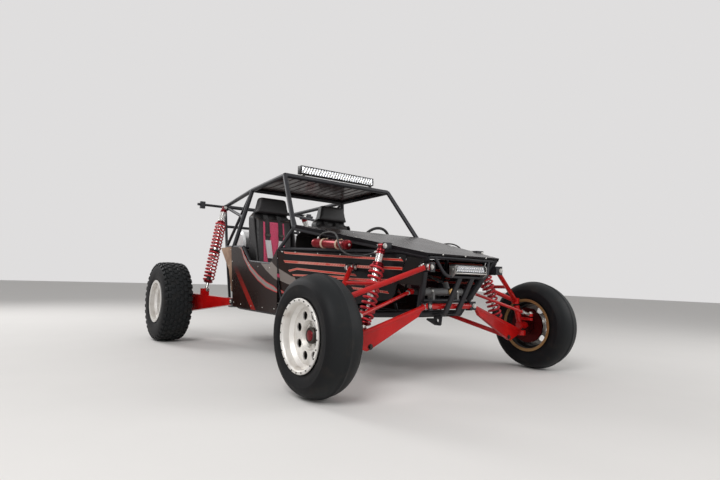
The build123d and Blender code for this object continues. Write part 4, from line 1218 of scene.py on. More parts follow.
def make_hood():
    """The hood sheet with its rolled front lip, its side skirts and its fasteners."""
    piece = Piece("hood_skin", "gloss_black", "zinc")
    along = Vector(NOSE_TOP) - Vector(COWL)
    side = outward(Vector((0, 0, 1)).cross(along))
    up = along.cross(Vector(LEFT)).normalized()
    up = up if up.z > 0 else -up
    front = along_rail(NOSE_TOP, COWL, 164)
    rear = along_rail(NOSE_TOP, COWL, COWL[0] + 34)
    edge = SKIN + SHEET / 2

    def place(point, out, rise):
        return at(*point) + (side * out + up * rise) * MM

    rim = [place(front, edge, SKIN), place(rear, edge, SKIN)]
    piece.add(sheet(rim + [other_side(rim[1]), other_side(rim[0])], SHEET))
    skirt = [place(front, SKIN, edge), place(rear, SKIN, edge)]
    skirt += [place(rear, SKIN, edge - 24), place(front, SKIN, edge - 24)]
    piece.add(sheet(skirt, SHEET), twin=True)
    lip_top = place(front, edge, edge)
    lip_low = lip_top - up * 12 * MM
    piece.add(sheet([lip_top, other_side(lip_top), other_side(lip_low), lip_low], SHEET))
    for ahead in (110, -120, -400, -640, -860):
        seat = aim(place(along_rail(NOSE_TOP, COWL, ahead), -6, edge), up)
        piece.turn(((0, 0), (13, 0), (13, 1.6), (10, 3), (7, 2.2), (0, 2.2)), 24, seat, 1, True)
        piece.add(block((11, 2.4, 3), 0.0005), seat @ by(0, 0, 3), 1, True)
    for share in (0.2, 0.5, 0.8):
        spot = lip_top.lerp(other_side(lip_top), share) - up * 6 * MM + Vector((SHEET * MM / 2, 0, 0))
        piece.add(button_head(0.006, 0.0035), aim(spot, (1, 0, -0.2)), 1)
    piece.done("chassis", "panel_gloss_black", ("hood",))


HOOP = ((154, 268, 826), (190, 203, 705))
STRUT = ((194, 705), (180, 705), (50, 466), (-50, 454), (-50, 440), (62, 452))
TOW_OUTLINE = ((-28, 442), (-72, 442), (-100, 424), (-100, 412), (-166, 408), (-172, 396), (-92, 366),
               (-44, 366), (-36, 374))


def make_nose_hoop():
    """The bent hoop round the nose lamp, with its two flat struts and their bolts."""
    piece = Piece("nose_hoop_bars", "frame_black", "dark_bolt")
    left = [at(*place) for place in HOOP]
    line = eased(left + [other_side(place) for place in reversed(left)], 0.05)
    piece.add(pipe(line, 0.01, False))
    piece.add(side_plate(STRUT, 40, 80, 0.0012), twin=True)
    for share in (0.2, 0.8):
        spot = at(*(180 - 130 * share, 60, 705 - 239 * share)) + mm(6, 0, -3)
        piece.add(hex_bolt(0.0075, 0.006), aim(spot, (0.88, 0, -0.48)), 1, True)
    piece.done("chassis", "frame_black", ("nose_hoop",))


def make_tow_plate():
    """The thick towing plate with its round hole."""
    piece = Piece("tow_plate", "frame_black")
    part = pierced(side_view_points(TOW_OUTLINE), [(AXLE_X - 0.064, 0.4, 0.0132)], 0.016, 0.0012)
    piece.add(stood_up(part, 8))
    piece.done("chassis", "frame_black", ("tow_eye",))


def make_lower_pivot_tube():
    """The stout red tube across the nose between the front lower pivots, with a welded collar at each end."""
    piece = Piece("nose_cross_tube", "red_coat")
    half = LOWER_PIVOT[1] - 26
    collar = ((0, 0), (22, 0), (23, 1.2), (23, 15), (21, 16.2), (20, 18), (19, 21))
    profile = [(radius, height - half) for radius, height in collar]
    profile += [(radius, half - height) for radius, height in reversed(collar)]
    piece.turn(profile, 32, aim(at(LOWER_PIVOT[0], 0, LOWER_PIVOT[2]), LEFT))
    piece.done("chassis", "red_metal")


# Lamps: name, front face, underside, width, height, depth, columns and rows of cells
LAMPS = (
    ("roof", -1345, 1576, 810, 72, 80, 28, 2),
    ("nose", 228, 731, 300, 54, 60, 14, 2),
)


def make_lamp(name, front, low, width, height, depth, columns, rows):
    """A lamp bar: finned case, deep frame, honeycomb reflectors with an emitter each and a clear cover."""
    piece = Piece(f"{name}_lamp", "lamp_case", "reflector", "led", "lens", "zinc")
    middle = low + height / 2
    case = block((depth - 16, width, height), 0.003, 2)
    face = max(case.faces, key=lambda f: (round(f.calc_center_median().x, 5), f.calc_area()))
    bmesh.ops.inset_region(case, faces=[face], thickness=0.006)
    bmesh.ops.inset_region(case, faces=[face], thickness=0.0008, depth=-0.009)
    piece.add(case, upright(front - (depth - 16) / 2, 0, middle))
    for index in range(6):
        up = low + 6 + (height - 12) * index / 5
        piece.add(block((20, width - 40, 3), 0.0006, 1), upright(front - depth + 9, 0, up))
    inner = width - 30
    pitch = inner / columns
    tall = (height - 16) / rows
    reach = max(pitch, tall) / 1.85
    floor_x = front - 8.6
    piece.add(block((0.6, inner, height - 16)), upright(floor_x, 0, middle), 1)
    for row in range(rows):
        count = columns - row % 2
        for column in range(count):
            across = (column - (count - 1) / 2) * pitch
            spot = aim(at(floor_x, across, middle + (row - (rows - 1) / 2) * tall), AHEAD, math.pi / 6)
            piece.turn(((reach * 0.22, 0.6), (reach * 0.62, 2), (reach * 0.92, 6.2)), 6, spot, 1)
            piece.add(drum(reach * 0.2 * MM, 0.0022, 8, 0.0004), spot, 2)
    piece.add(block((1.6, width - 14, height - 14), 0.0004, 1), upright(front - 1.4, 0, middle), 3)
    for across in (width / 2 - 8, 8 - width / 2):
        for up in (low + 9, low + height - 9):
            piece.add(button_head(0.0035, 0.0022), aim(at(front, across, up), AHEAD), 4)
    if name == "roof":
        foot = ((-1372, 1554), (-1348, 1554), (-1352, 1580), (-1368, 1580))
        piece.add(side_plate(foot, 361, 385, 0.001), twin=True)
        sole = ((-1384, 1552), (-1340, 1550), (-1340, 1554), (-1384, 1556))
        piece.add(side_plate(sole, 355, 391, 0.0006), twin=True)
        piece.add(hex_bolt(0.007, 0.006), aim(at(-1360, 386, 1568), LEFT), 4, True)
    else:
        ear = ((176, 700), (200, 700), (230, 724), (230, 775), (176, 775))
        piece.add(side_plate(ear, 150.5, 153.5, 0.0008), None, 4, True)
        piece.add(hex_bolt(0.0065, 0.005), aim(at(204, 153, 752), LEFT), 4, True)
        shelf = ((222, 722), (232, 726), (232, 731), (222, 731))
        piece.add(side_plate(shelf, -150, 150, 0.0006), None, 4)
    piece.done("chassis", "lamp", (f"{name}_light_bar",))


# Arms and their joints


def make_lower_arms():
    """Tube legs with a deep plate below the front one, a rear leg, shock ears and ball cups."""
    piece = Piece("lower_arm_pair", "red_coat", "polished_steel", "dark_bolt")

    def below(share, drop):
        return shifted(between(LOWER_PIVOT, LOWER_BALL, share), dz=-drop)

    outline = ((0.05, 0), (0.11, 43), (0.69, 112), (0.73, 112), (0.93, 26), (0.93, 0))
    piece.add(sheet([at(*below(*p)) for p in outline], 28, 0.002), twin=True)
    knee = below(0.68, 88)
    piece.add(hex_bolt(0.013, 0.012), aim(at(*below(0.69, 94)) + mm(14, 0, 0), AHEAD), 2, True)
    for start, end in ((LOWER_PIVOT, below(0.955, 0)), (LOWER_PIVOT_REAR, knee)):
        piece.add(bar(start, end, 17, 28), twin=True)
    cup = ((0, -26), (30, -26), (34, -22), (34, 10), (31, 14), (16, 14), (15, 8), (0, 8))
    piece.turn(cup, 40, upright(*LOWER_BALL), 0, True)
    eye_x = FRONT_EYES[1][0]
    for shift in (-26.3, 26.3):
        rear, front = eye_x + shift - 4, eye_x + shift + 4
        ear = ((rear, 292), (front, 292), (front, 364), (rear, 364))
        piece.add(side_plate(ear, 642, 686, 0.001), twin=True)
    piece.add(side_plate(((-90, 292), (16, 292), (16, 300), (-90, 300)), 642, 686, 0.001), twin=True)
    line = Vector(LOWER_PIVOT) - Vector(LOWER_PIVOT_REAR)
    for pivot in (LOWER_PIVOT, LOWER_PIVOT_REAR):
        seat = aim(at(*pivot), line)
        piece.ring(((7.3, -23), (17, -23), (20, -20), (20, 20), (17, 23), (7.3, 23)), 36, seat, 0, True)
        piece.ring(((20.2, -12), (22.5, -11), (22.5, 11), (20.2, 12)), 36, seat, 1, True)
    for way in (-1, 1):
        seat = aim(at(*shifted(FRONT_EYES[1], way * 30.4)), (way, 0, 0))
        piece.add(hex_bolt(0.012, 0.009), seat, 2, True)
    piece.done("chassis", "red_metal", ("lower_arms",))


# Lines through the pivots of the upper and lower front arms, and the pivot of a trailing arm
UPPER_LINE = (581, -160, 10)
LOWER_LINE = (514, -167, 61)
TRAILING_PIVOT = (-2137, 616, 420)
# Pivots that bolts show at: place, direction of the bolt, where its heads sit either side, head's radius
BOLTED = (
    (UPPER_PIVOT, UPPER_LINE, 40.5, 12),
    (UPPER_PIVOT_REAR, UPPER_LINE, 40.5, 12),
    (LOWER_PIVOT, LOWER_LINE, 31.5, 12),
    (LOWER_PIVOT_REAR, LOWER_LINE, 31.5, 12),
    (FRONT_EYES[0], AHEAD, 30.5, 12),
    (REAR_EYES[0], AHEAD, 30.5, 13),
    (REAR_EYES[1], AHEAD, 30.5, 13),
    (TRAILING_PIVOT, LEFT, 42.5, 16),
)


def make_pivot_bolts():
    """Bolt heads and washers either side of every bracket, and bright bands on the upper arms' eyes."""
    piece = Piece("pivot_bolts", "zinc", "polished_steel", "black_rubber")
    for place, way, reach, radius in BOLTED:
        for facing in (-1, 1):
            direction = Vector(way) * facing
            seat = aim(at(*place), direction) @ by(0, 0, reach)
            piece.add(hex_bolt(radius * MM, 0.0095), seat, 0, True)
    for pivot in (UPPER_PIVOT, UPPER_PIVOT_REAR):
        seat = aim(at(*pivot), UPPER_LINE)
        for shift in (-22, 22):
            ring = ((20.1, shift - 7), (23, shift - 6), (23, shift + 6), (20.1, shift + 7))
            piece.ring(ring, 36, seat, 1, True)
        piece.ring(((20.1, -13), (21.5, -12), (21.5, 12), (20.1, 13)), 36, seat, 2, True)
    piece.done("chassis", "shock_steel")


def make_ball_boots(side_name, side):
    """Ribbed rubber boots between the ball cups and the upright."""
    piece = Piece(f"ball_boots_{side_name}", "black_rubber", "zinc")
    line = Vector(UPPER_BALL) - Vector(LOWER_BALL)
    line.y *= side
    low, top = (at(x, y * side, z) for x, y, z in (LOWER_BALL, UPPER_BALL))
    boot = ((20, 15), (25, 16), (27, 19), (23, 21.5), (26, 24), (22, 27), (24, 30), (20, 33), (15, 34),
            (15, 15))
    piece.ring(boot, 36, aim(low, line))
    piece.ring(((16, 23), (24, 24), (26, 27), (22, 29.5), (25, 32), (20, 36), (15, 37), (15, 23)), 36,
              aim(top, -line))
    piece.done(f"knuckle_{side_name}", "hose_black")


# The rack's line: ahead of the front axle, above ground
RACK = (-28, 600)


def on_rack(across):
    return at(RACK[0], across, RACK[1])


def make_tie_rod_ends():
    """Bright rod ends with their lock nuts on the tie rods."""
    piece = Piece("tie_rod_ends", "polished_steel", "zinc", "black_rubber")
    start = (RACK[0], 300, RACK[1])
    way = Vector(TIE_EYE) - Vector(start)
    length = way.length
    seat = aim(at(*start), way)
    piece.ring(((11.2, length - 78), (13, length - 76), (13, length - 20), (11.2, length - 18)), 28,
              seat, 0, True)
    piece.add(drum(0.017, 0.014, 6, 0.001), seat @ by(0, 0, length - 94), 1, True)
    piece.ring(((12, 15), (18.3, 13.5), (18.3, 11), (12, 11)), 32, upright(*TIE_EYE), 1, True)
    piece.add(hex_bolt(0.012, 0.012), upright(*shifted(TIE_EYE, dz=13)), 1, True)
    piece.add(drum(0.017, 0.012, 6, 0.001), seat @ by(0, 0, 24), 1, True)
    piece.done("rack", "shock_steel")


def make_rack_boots(side_name, side):
    """The ribbed boot between the rack housing and a tie rod."""
    piece = Piece(f"rack_boot_{side_name}", "black_rubber")
    line = [(12.3, 0), (26.8, 0), (26.8, 10)]
    for index in range(8):
        start = 14 + index * 9
        line += [(24.5 - index * 0.5, start), (18.5 - index * 0.3, start + 4.5)]
    line += [(20, 88), (20, 96), (12.3, 96)]
    piece.ring(line, 40, aim(on_rack(188 * side), (0, side, 0)))
    made = piece.done(None, "hose_black")
    at(-28, 198 * side, 600)
    at(-28, 272 * side, 600)
    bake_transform(made)


def make_rack_fittings():
    """Clamps, bolts and the pinion cap on the rack housing."""
    piece = Piece("rack_fittings", "zinc", "gold_lip", "dark_bolt")
    piece.ring(((26.3, -9), (29, -8), (29, 8), (26.3, 9)), 40, aim(on_rack(120), LEFT), 0, True)
    for ahead in (-14, 14):
        piece.add(hex_bolt(0.006, 0.007), upright(RACK[0] + ahead, 120, 626), 2, True)
    pinion = aim(at(-10, 58, 602), (1, 0, 0.1))
    piece.turn(((0, 0), (22, 0), (24, 2), (24, 12), (20, 16), (0, 17)), 32, pinion, 1)
    for index in range(4):
        bolt = hex_bolt(0.0035, 0.004, False)
        piece.add(bolt, pinion @ (spun(math.tau * (index + 0.5) / 4) @ by(17, 0, 14)), 2)
    piece.done("chassis", "rack_grey")


# Reservoirs and their hoses

RESERVOIR = ((-735, 620, 927), (-345, 585, 900))
HOSE_ROUTE = ((-672, 616, 968), (-641, 616, 993), (-560, 614, 1000), (-480, 616, 990), (-425, 629, 958),
              (-396, 638, 905), (-358, 634, 855), (-300, 612, 828), (-236, 580, 820), (-180, 544, 832),
              (-135, 509, 850))


def make_reservoirs():
    """Red reservoirs with their end caps, in two pale clamps each on arms from the hood rail."""
    piece = Piece("reservoir_pair", "anodised_red", "cream_band", "zinc", "frame_black", "dark_bolt")
    rear, front = (at(*place) for place in RESERVOIR)
    length = (front - rear).length / MM
    place = aim(rear, front - rear)
    body = ((0, 0), (24, 0), (30, 3), (33, 8), (34, 14), (34, 44), (32.5, 47), (31.5, 50),
            (31.5, length - 52), (32.5, length - 50), (34, length - 46), (34, length - 30), (31, length - 28),
            (31, length - 22), (34, length - 20), (34, length - 8), (30, length - 2), (18, length),
            (0, length))
    piece.turn(body, 56, place, 0, True)
    valve = ((0, length), (9, length), (9, length + 5), (6, length + 8), (0, length + 8))
    piece.turn(valve, 20, place, 2, True)
    for share in (0.3, 0.72):
        along = share * length
        half = ((31.6, 9), (35.5, 8.4), (36.3, 6), (35.4, 3))
        band = [(r, along - a) for r, a in half] + [(r, along + a) for r, a in reversed(half)]
        piece.ring(band, 56, place, 1, True)
        middle = between(*RESERVOIR, share)
        rail = along_rail(NOSE_TOP, COWL, middle[0])
        piece.add(bar(between(middle, rail, 0.25), between(middle, rail, 0.78), 8, 20), None, 3, True)
        lug = place @ by(0, 0, along) @ spun(2.2)
        piece.add(block((16, 12, 14), 0.002), lug @ by(38, 0, 0), 1, True)
        piece.add(hex_bolt(0.0045, 0.006), lug @ by(38, 6, 0) @ spun(-math.pi / 2, "X"), 4, True)
    piece.done("chassis", "red_metal", ("reservoirs",))


def make_hoses():
    """Braided hoses from the reservoirs to the front shocks, with their bright end fittings."""
    piece = Piece("reservoir_hoses", "braid", "zinc", "anodised_red")
    route = [at(*place) for place in HOSE_ROUTE]
    piece.add(pipe([at(-700, 616, 945)] + route + [at(-118, 500, 858)], 0.0062), twin=True)
    ends = ((at(-712, 617, 936), route[1] - route[0]), (at(-108, 492, 862), route[-2] - route[-1]))
    for place, way in ends:
        seat = aim(place, way)
        socket = ((0, 0), (9, 0), (9.5, 3), (9.5, 12), (8.4, 14), (8.4, 20), (9.4, 22), (9.4, 46), (7.4, 50),
                  (6.4, 50))
        piece.turn(socket, 20, seat, 1, True)
        piece.add(drum(0.0115, 0.011, 6, 0.0008), seat @ by(0, 0, 12), 2, True)
    piece.done("chassis", "hose_black", ("shock_hoses",))


# Seats

SEAT_Y = 350
INSERT_HALF = 0.112
INSERT_TOP = 1.19
SLOT_Y = 72
SLOT_UP = 1262
LEGS = (SEAT_Y - 160, SEAT_Y + 160)


def baked(holder):
    """Apply an object's modifiers and hand back its mesh."""
    graph = bpy.context.evaluated_depsgraph_get()
    graph.update()
    done = bpy.data.meshes.new_from_object(holder.evaluated_get(graph), depsgraph=graph)
    old = holder.data
    holder.modifiers.clear()
    holder.data = done
    bpy.data.meshes.remove(old)
    return done


def remeshed(part, grain):
    """A part rebuilt in even small faces, on an object of its own."""
    mesh = bpy.data.meshes.new("pad")
    part.to_mesh(mesh)
    part.free()
    holder = linked("pad", mesh)
    remesh = holder.modifiers.new("Remesh", "REMESH")
    remesh.mode = "VOXEL"
    remesh.voxel_size = grain
    baked(holder)
    return holder


def filled(holder, cap):
    """Blow a pad up like filled cloth, with no point moved further than a cap."""
    rest = [vert.co.copy() for vert in holder.data.vertices]
    cloth = holder.modifiers.new("Cloth", "CLOTH")
    cloth.settings.use_pressure = True
    cloth.settings.uniform_pressure_force = 4
    cloth.settings.effector_weights.gravity = 0
    cloth.settings.quality = 4
    cloth.point_cache.frame_end = 20
    for number in range(1, 21):
        bpy.context.scene.frame_set(number)
    mesh = baked(holder)
    bpy.context.scene.frame_set(1)
    for vert, start in zip(mesh.vertices, rest):
        shift = vert.co - start
        if shift.length > cap:
            vert.co = start + shift * (cap / shift.length)


def cushion(width, length, depth, bolster):
    """A crowned block for a pad, its sides raised as bolsters and its corners drawn in."""
    part = block((width, length, depth), 0.012, 3)
    bmesh.ops.subdivide_edges(part, edges=part.edges[:], cuts=5, use_grid_fill=True)
    half_width, half_length = width * MM / 2, length * MM / 2
    for vert in part.verts:
        side = abs(vert.co.x) / half_width
        end = abs(vert.co.y) / half_length
        if vert.co.z > 0:
            rise = max(0.0, min(1.0, (side - 0.5) / 0.3))
            vert.co.z += bolster * MM * rise * rise * (3 - 2 * rise) * (1 - 0.5 * end ** 4)
            vert.co.z += 0.006 * (1 - side ** 2) * (1 - end ** 2)
        vert.co.x *= 1 - 0.03 * end ** 4
    return part


def back_matrix():
    """The place of the back cushion's middle, with its length up the shell and its depth forward."""
    low, high = at(-1915, 0, 600), at(-2000, 0, 1240)
    up = (high - low).normalized()
    forward = Vector(LEFT).cross(up)
    turned_to = Matrix((LEFT, up, forward)).transposed().to_4x4()
    return Matrix.Translation((low + high) / 2 + forward * 0.03) @ turned_to


def base_matrix():
    """The place of the seat cushion's middle, with its length forward along the shell."""
    rear, front = at(-1850, 0, 545), at(-1480, 0, 592)
    ahead = (front - rear).normalized()
    up = ahead.cross(Vector(LEFT)).normalized()
    turned_to = Matrix(((0, -1, 0), ahead, up)).transposed().to_4x4()
    return Matrix.Translation((rear + front) / 2 + up * 0.03) @ turned_to


def make_seat_pads():
    """Both cushions of each seat: a rose middle between black bolsters, with sewn edges."""
    joined = bmesh.new()
    cushions = ((cushion(388, 612, 48, 26), back_matrix()), (cushion(388, 400, 50, 20), base_matrix()))
    for part, place in cushions:
        moved(part, place)
        bmesh.ops.recalc_face_normals(part, faces=part.faces)
        holder = remeshed(part, settings().pad_grain)
        filled(holder, 0.009)
        joined.from_mesh(holder.data)
        bpy.data.objects.remove(holder)
    smoothed(joined, 2)
    joined.normal_update()
    for vert in joined.verts:
        across = abs(vert.co.y) - INSERT_HALF
        lengthwise = vert.co.z - INSERT_TOP
        groove = math.exp(-(across / 0.005) ** 2) * (1.0 if lengthwise < 0 else 0.0)
        if across < 0:
            groove = max(groove, math.exp(-(lengthwise / 0.005) ** 2))
        vert.co -= vert.normal * 0.006 * groove
    for face in joined.faces:
        middle = face.calc_center_median()
        face.material_index = int(not (abs(middle.y) < INSERT_HALF and middle.z < INSERT_TOP))
        face.smooth = True
    for side_name, side in SIDES:
        mesh = bpy.data.meshes.new(f"seat_cushions_{side_name}")
        joined.to_mesh(mesh)
        mesh.transform(by(0, SEAT_Y * side, 0))
        for name in ("rose_cloth", "seat_vinyl"):
            mesh.materials.append(finish(name))
        made = linked(f"seat_cushions_{side_name}", mesh)
        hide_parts(f"seat_pad_{side_name}")
        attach(made, "chassis")
    joined.free()


def make_seat_shells():
    """Bucket shells with rounded wings and head rests, harness slots and legs to the rails."""
    piece = Piece("seat_shell_pair", "seat_vinyl", "zinc", "frame_black")
    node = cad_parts["seat_left"]
    part = bmesh.new()
    part.from_mesh(node.data)
    bmesh.ops.remove_doubles(part, verts=part.verts, dist=MERGE)
    cut = bmesh.ops.bisect_plane(part, geom=all_of(part), plane_co=(0, 0, 0.494), plane_no=(0, 0, -1),
                                 clear_outer=True)
    edges = [g for g in cut["geom_cut"] if isinstance(g, bmesh.types.BMEdge)]
    bmesh.ops.holes_fill(part, edges=edges, sides=0)
    holder = remeshed(part, 0.009)
    shell = bmesh.new()
    shell.from_mesh(holder.data)
    bpy.data.objects.remove(holder)
    smoothed(shell, 16)
    bmesh.ops.scale(shell, vec=(1, 0.93, 1), space=by(0, -SEAT_Y, 0), verts=shell.verts)
    piece.add(shell, twin=True)
    for across in (-SLOT_Y, SLOT_Y):
        spot, normal = met(node, at(-1300, SEAT_Y + across, SLOT_UP), BACK)
        slot = block((74, 26, 4), 0.0018)
        face = max(slot.faces, key=lambda f: f.calc_center_median().z)
        bmesh.ops.inset_region(slot, faces=[face], thickness=0.005, depth=-0.002)
        piece.add(slot, aim(spot, normal), 1, True)
    for ahead, top in ((-1510, 580), (-1880, 540)):
        for across in LEGS:
            piece.add(bar((ahead, across, 392), (ahead, across, top), 11, 20), None, 2, True)
    for across in LEGS:
        outline = ((-1905, 520), (-1490, 548), (-1490, 562), (-1905, 534))
        piece.add(side_plate(outline, across - 15, across + 15, 0.001), None, 2, True)
    piece.done("chassis", "seat_shell", ("seat_left", "seat_right"), 60)


def strap(places, width, across=LEFT, thickness=0.0028):
    """A flat strap along places, with its width across them."""
    half = Vector(across).normalized() * width * MM / 2
    part = bmesh.new()
    edge = part.edges.new([part.verts.new(places[0] + out) for out in (-half, half)])
    for place in places[1:]:
        grown = bmesh.ops.extrude_edge_only(part, edges=[edge])["geom"]
        fresh = [g for g in grown if isinstance(g, bmesh.types.BMVert)]
        for vert, out in zip(fresh, (-half, half)):
            vert.co = place + out
        edge = part.edges.get(fresh)
    bmesh.ops.recalc_face_normals(part, faces=part.faces)
    bmesh.ops.solidify(part, geom=part.faces[:], thickness=thickness)
    return part


def make_harness(side_name, side):
    """Shoulder and lap straps over the cushions, with their adjusters, pads and a cam buckle."""
    piece = Piece(f"harness_{side_name}", "black_strap", "grey_strap", "dark_bolt", "zinc")
    pads = bpy.data.objects[f"seat_cushions_{side_name}"]
    middle = SEAT_Y * side

    def lying(across, up):
        """Just off the back cushion, at a distance from the seat's middle."""
        spot, _ = met(pads, at(-1300, middle + across, up), BACK)
        return spot + mm(4.5, 0, 0)

    def shoulder(way, heights):
        """Places down a shoulder strap, which draws in towards the buckle."""
        return [lying(way * (70 - 38 * max(0.0, (1000 - up) / 300)), up) for up in heights]

    def under(across):
        """On the seat cushion, at a distance from the seat's middle."""
        return met(pads, at(-1800, middle + across, 1100), (0, 0, -1))[0]

    for way in (-1, 1):
        shells = bpy.data.objects["seat_shell_pair"]
        slot, _ = met(shells, at(-1300, middle + way * SLOT_Y, SLOT_UP), BACK)
        run = [slot, slot + mm(18, 0, -6)] + shoulder(way, range(1195, 699, -33))
        piece.add(strap(run, 48))
        pad_run = [place + mm(5, 0, 0) for place in shoulder(way, range(1010, 839, -34))]
        piece.add(strap(pad_run, 56, thickness=0.007), None, 1)
        adjuster = Matrix.Translation(lying(way * 70, 1060) + mm(3, 0, 0)) @ spun(-0.13, "Y")
        piece.add(block((6, 58, 32), 0.002), adjuster, 2)
        lap = [under(way * across) + mm(0, 0, 4.5) for across in (172, 150, 120, 85, 50, 22)]
        piece.add(strap(lap, 46, AHEAD))
        piece.add(block((34, 54, 6), 0.002), Matrix.Translation(lap[3] + mm(0, 0, 2)), 2)
    spot = under(0)
    buckle = ((0, 0), (30, 0), (33, 4), (33, 14), (29, 18), (12, 19), (10, 22), (0, 23))
    piece.turn(buckle, 40, aim(spot + mm(0, 0, 6), (0.3, 0, 1)), 3)
    piece.add(block((52, 12, 6), 0.002), aim(spot + mm(8, 0, 28), (0.3, 0, 1)), 2)
    piece.done("chassis", "seat_fabric")


# The cabin's controls

STEERING_CENTRE = (-1237, SEAT_Y, 998)


def make_steering_wheel():
    """A suede rim, three pierced spokes and a bolted boss on its shaft."""
    piece = Piece("steering_wheel_parts", "suede", "satin_black", "zinc", "dark_bolt")
    rake = math.radians(25)
    way = Vector((math.cos(rake), 0, -math.sin(rake)))
    place = aim(at(*STEERING_CENTRE), -way)
    piece.ring([(165 + out, up) for out, up in circle_points(13, 14)], 72, place)
    for angle in (0, 120, 240):
        outline = ((-0.016, 0.028), (0.016, 0.028), (0.011, 0.09), (0.017, 0.157), (-0.017, 0.157),
                   (-0.011, 0.09))
        holes = ((0, 0.06, 0.0065), (0, 0.088, 0.0055), (0, 0.115, 0.0065))
        spoke = pierced(outline, holes, 0.004, 0.0006)
        piece.add(spoke, place @ spun(math.radians(angle + 180)) @ by(0, 0, -2), 1)
    boss = ((0, -16), (30, -16), (34, -12), (34, 3), (32, 6), (22, 7), (19, 11), (0, 12))
    piece.turn(boss, 40, place, 1)
    piece.add(repeated(hex_bolt(0.003, 0.003, False), 6, 27, 0, 6.2), place, 2)
    down = aim(at(*STEERING_CENTRE), way)
    piece.add(drum(0.011, 0.248, 24), down, 3)
    piece.ring(((11.2, 40), (24, 42), (26, 60), (20, 66), (11.2, 68)), 32, down, 2)
    piece.done("steering_wheel", "steering_black", ("steering_wheel",))


# Gauges on the dash: from the middle, above ground, radius
GAUGES = ((350, 958, 30), (262, 946, 24), (438, 946, 24), (150, 940, 20), (95, 940, 20))


def make_dash_fittings():
    """Gauges with their needles, a row of toggles, the grab bar and the dash's bolts."""
    piece = Piece("dash_fittings", "dark_bolt", "black_rubber", "cream_band", "anodised_red", "zinc")
    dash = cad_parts["dash_panel"]

    def seat_at(across, up):
        spot, normal = met(dash, at(-1250, across, up), AHEAD)
        return aim(spot, normal if normal.x < 0 else -normal)

    for across, up, radius in GAUGES:
        place = seat_at(across, up)
        bezel = ((radius - 4, 0), (radius, 0), (radius, 8), (radius - 2, 10), (radius - 4, 8))
        piece.ring(bezel, 40, place)
        piece.add(drum((radius - 3.5) * MM, 0.003, 40), place, 1)
        piece.add(repeated(block((1.2, 4, 0.8)), 12, 0, radius - 8, 3.2), place, 2)
        needle = moved(block((1.4, radius - 9, 0.8)), by(0, (radius - 9) / 2, 4.4))
        piece.add(needle, place @ spun(0.9), 3)
        piece.add(drum(0.003, 0.005, 16, 0.0006), place)
    for index in range(6):
        place = seat_at(-70 + index * 26, 900)
        piece.turn(((0, 0), (7, 0), (7, 3), (5, 5), (0, 5)), 16, place, 4)
        piece.add(drum(0.0022, 0.02, 10, 0.0008), place @ spun(0.3, "X"), 4)
    grab = [at(-1064, -440, 920), at(-1110, -440, 926), at(-1110, -260, 926), at(-1064, -260, 920)]
    piece.add(pipe(eased(grab, 0.02), 0.009, False), None, 1)
    for across in (-560, -300, 0, 520):
        piece.add(button_head(0.006, 0.003), seat_at(across, 985), 4)
    piece.done("chassis", "steering_black")


def make_foot_controls():
    """Ribbed rubber pads on the pedals, and the gear lever's boot, gate and knob."""
    piece = Piece("foot_and_hand_controls", "black_rubber", "zinc", "dark_bolt")
    for across in (230, 320):
        piece.add(block((4, 60, 56), 0.0015), upright(-802, across, 510))
        for index in range(5):
            piece.add(block((3, 54, 4), 0.001, 1), upright(-804.5, across, 490 + index * 10))
        piece.add(drum(0.013, 0.02, 20, 0.001), aim(at(-700, across - 10, 764), LEFT), 1)
    boot = [(52, 0), (50, 4)]
    for index in range(6):
        boot += [(44 - index * 5.4, 8 + index * 10), (38 - index * 5.0, 13 + index * 10)]
    boot += [(9.4, 70), (0, 70), (0, 0)]
    piece.turn(boot, 36, upright(-1390, 0, 470))
    piece.add(block((124, 84, 4), 0.0015), upright(-1390, 0, 471), 1)
    knob = ((9.5, -30), (13, -28), (20, -16), (25, 0), (23, 12), (14, 21), (0, 25))
    piece.turn(knob, 36, upright(-1370, 0, 772), 2)
    piece.done("chassis", "steering_black")


# The tail

# The tank's middle and a tail lamp's
TANK = (-2345, 975)
TAIL_LAMP = (-3009.5, 681, 1430)
ENGINE_BANK = 38


def make_tank_fittings():
    """Straps, a filler and end bosses on the fuel tank."""
    piece = Piece("tank_fittings", "dark_bolt", "anodised_red", "zinc")
    ahead, up = TANK
    band = ((140.2, -16), (142.6, -16), (142.6, 16), (140.2, 16))
    piece.ring(band, 72, aim(at(ahead, 300, up), LEFT), 0, True)
    piece.add(block((24, 36, 12), 0.002), upright(ahead - 60, 300, up + 130), 2, True)
    filler = ((0, 0), (44, 0), (44, 8), (38, 12), (38, 20), (40, 22), (40, 38), (36, 42), (0, 42))
    piece.turn(filler, 44, upright(ahead, -120, up + 136), 1)
    for index in range(8):
        place = upright(ahead, -120, up) @ (spun(math.tau * index / 8) @ by(41, 0, 144))
        piece.add(hex_bolt(0.003, 0.003, False), place, 2)
    for across in (60, 120):
        piece.turn(((0, 0), (14, 0), (14, 10), (10, 14), (0, 14)), 6, upright(ahead, across, up + 137), 2)
    piece.done("chassis", "bare_aluminium")


def make_tail_lamps():
    """Round red lamps with their bezels on the tail bar's plates, and caps on its ends."""
    piece = Piece("tail_lamps", "tail_red", "lamp_case", "zinc")
    ahead, across, up = TAIL_LAMP
    place = aim(at(*TAIL_LAMP), BACK)
    piece.turn(((0, 9), (14, 8), (19, 5), (20, 0), (0, 0)), 32, place, 0, True)
    piece.ring(((20, 0), (23.5, 0), (23.5, 7), (22, 9), (20, 7)), 32, place, 1, True)
    for shift in (-30, 30):
        piece.add(button_head(0.004, 0.003), aim(at(ahead, across, up + shift), BACK), 2, True)
    end = aim(at(-2991.3, 734.2, 1434), LEFT)
    piece.turn(((0, 1.8), (12, 1.5), (13.8, 0), (0, 0)), 28, end, 1, True)
    piece.done("chassis", "lamp")


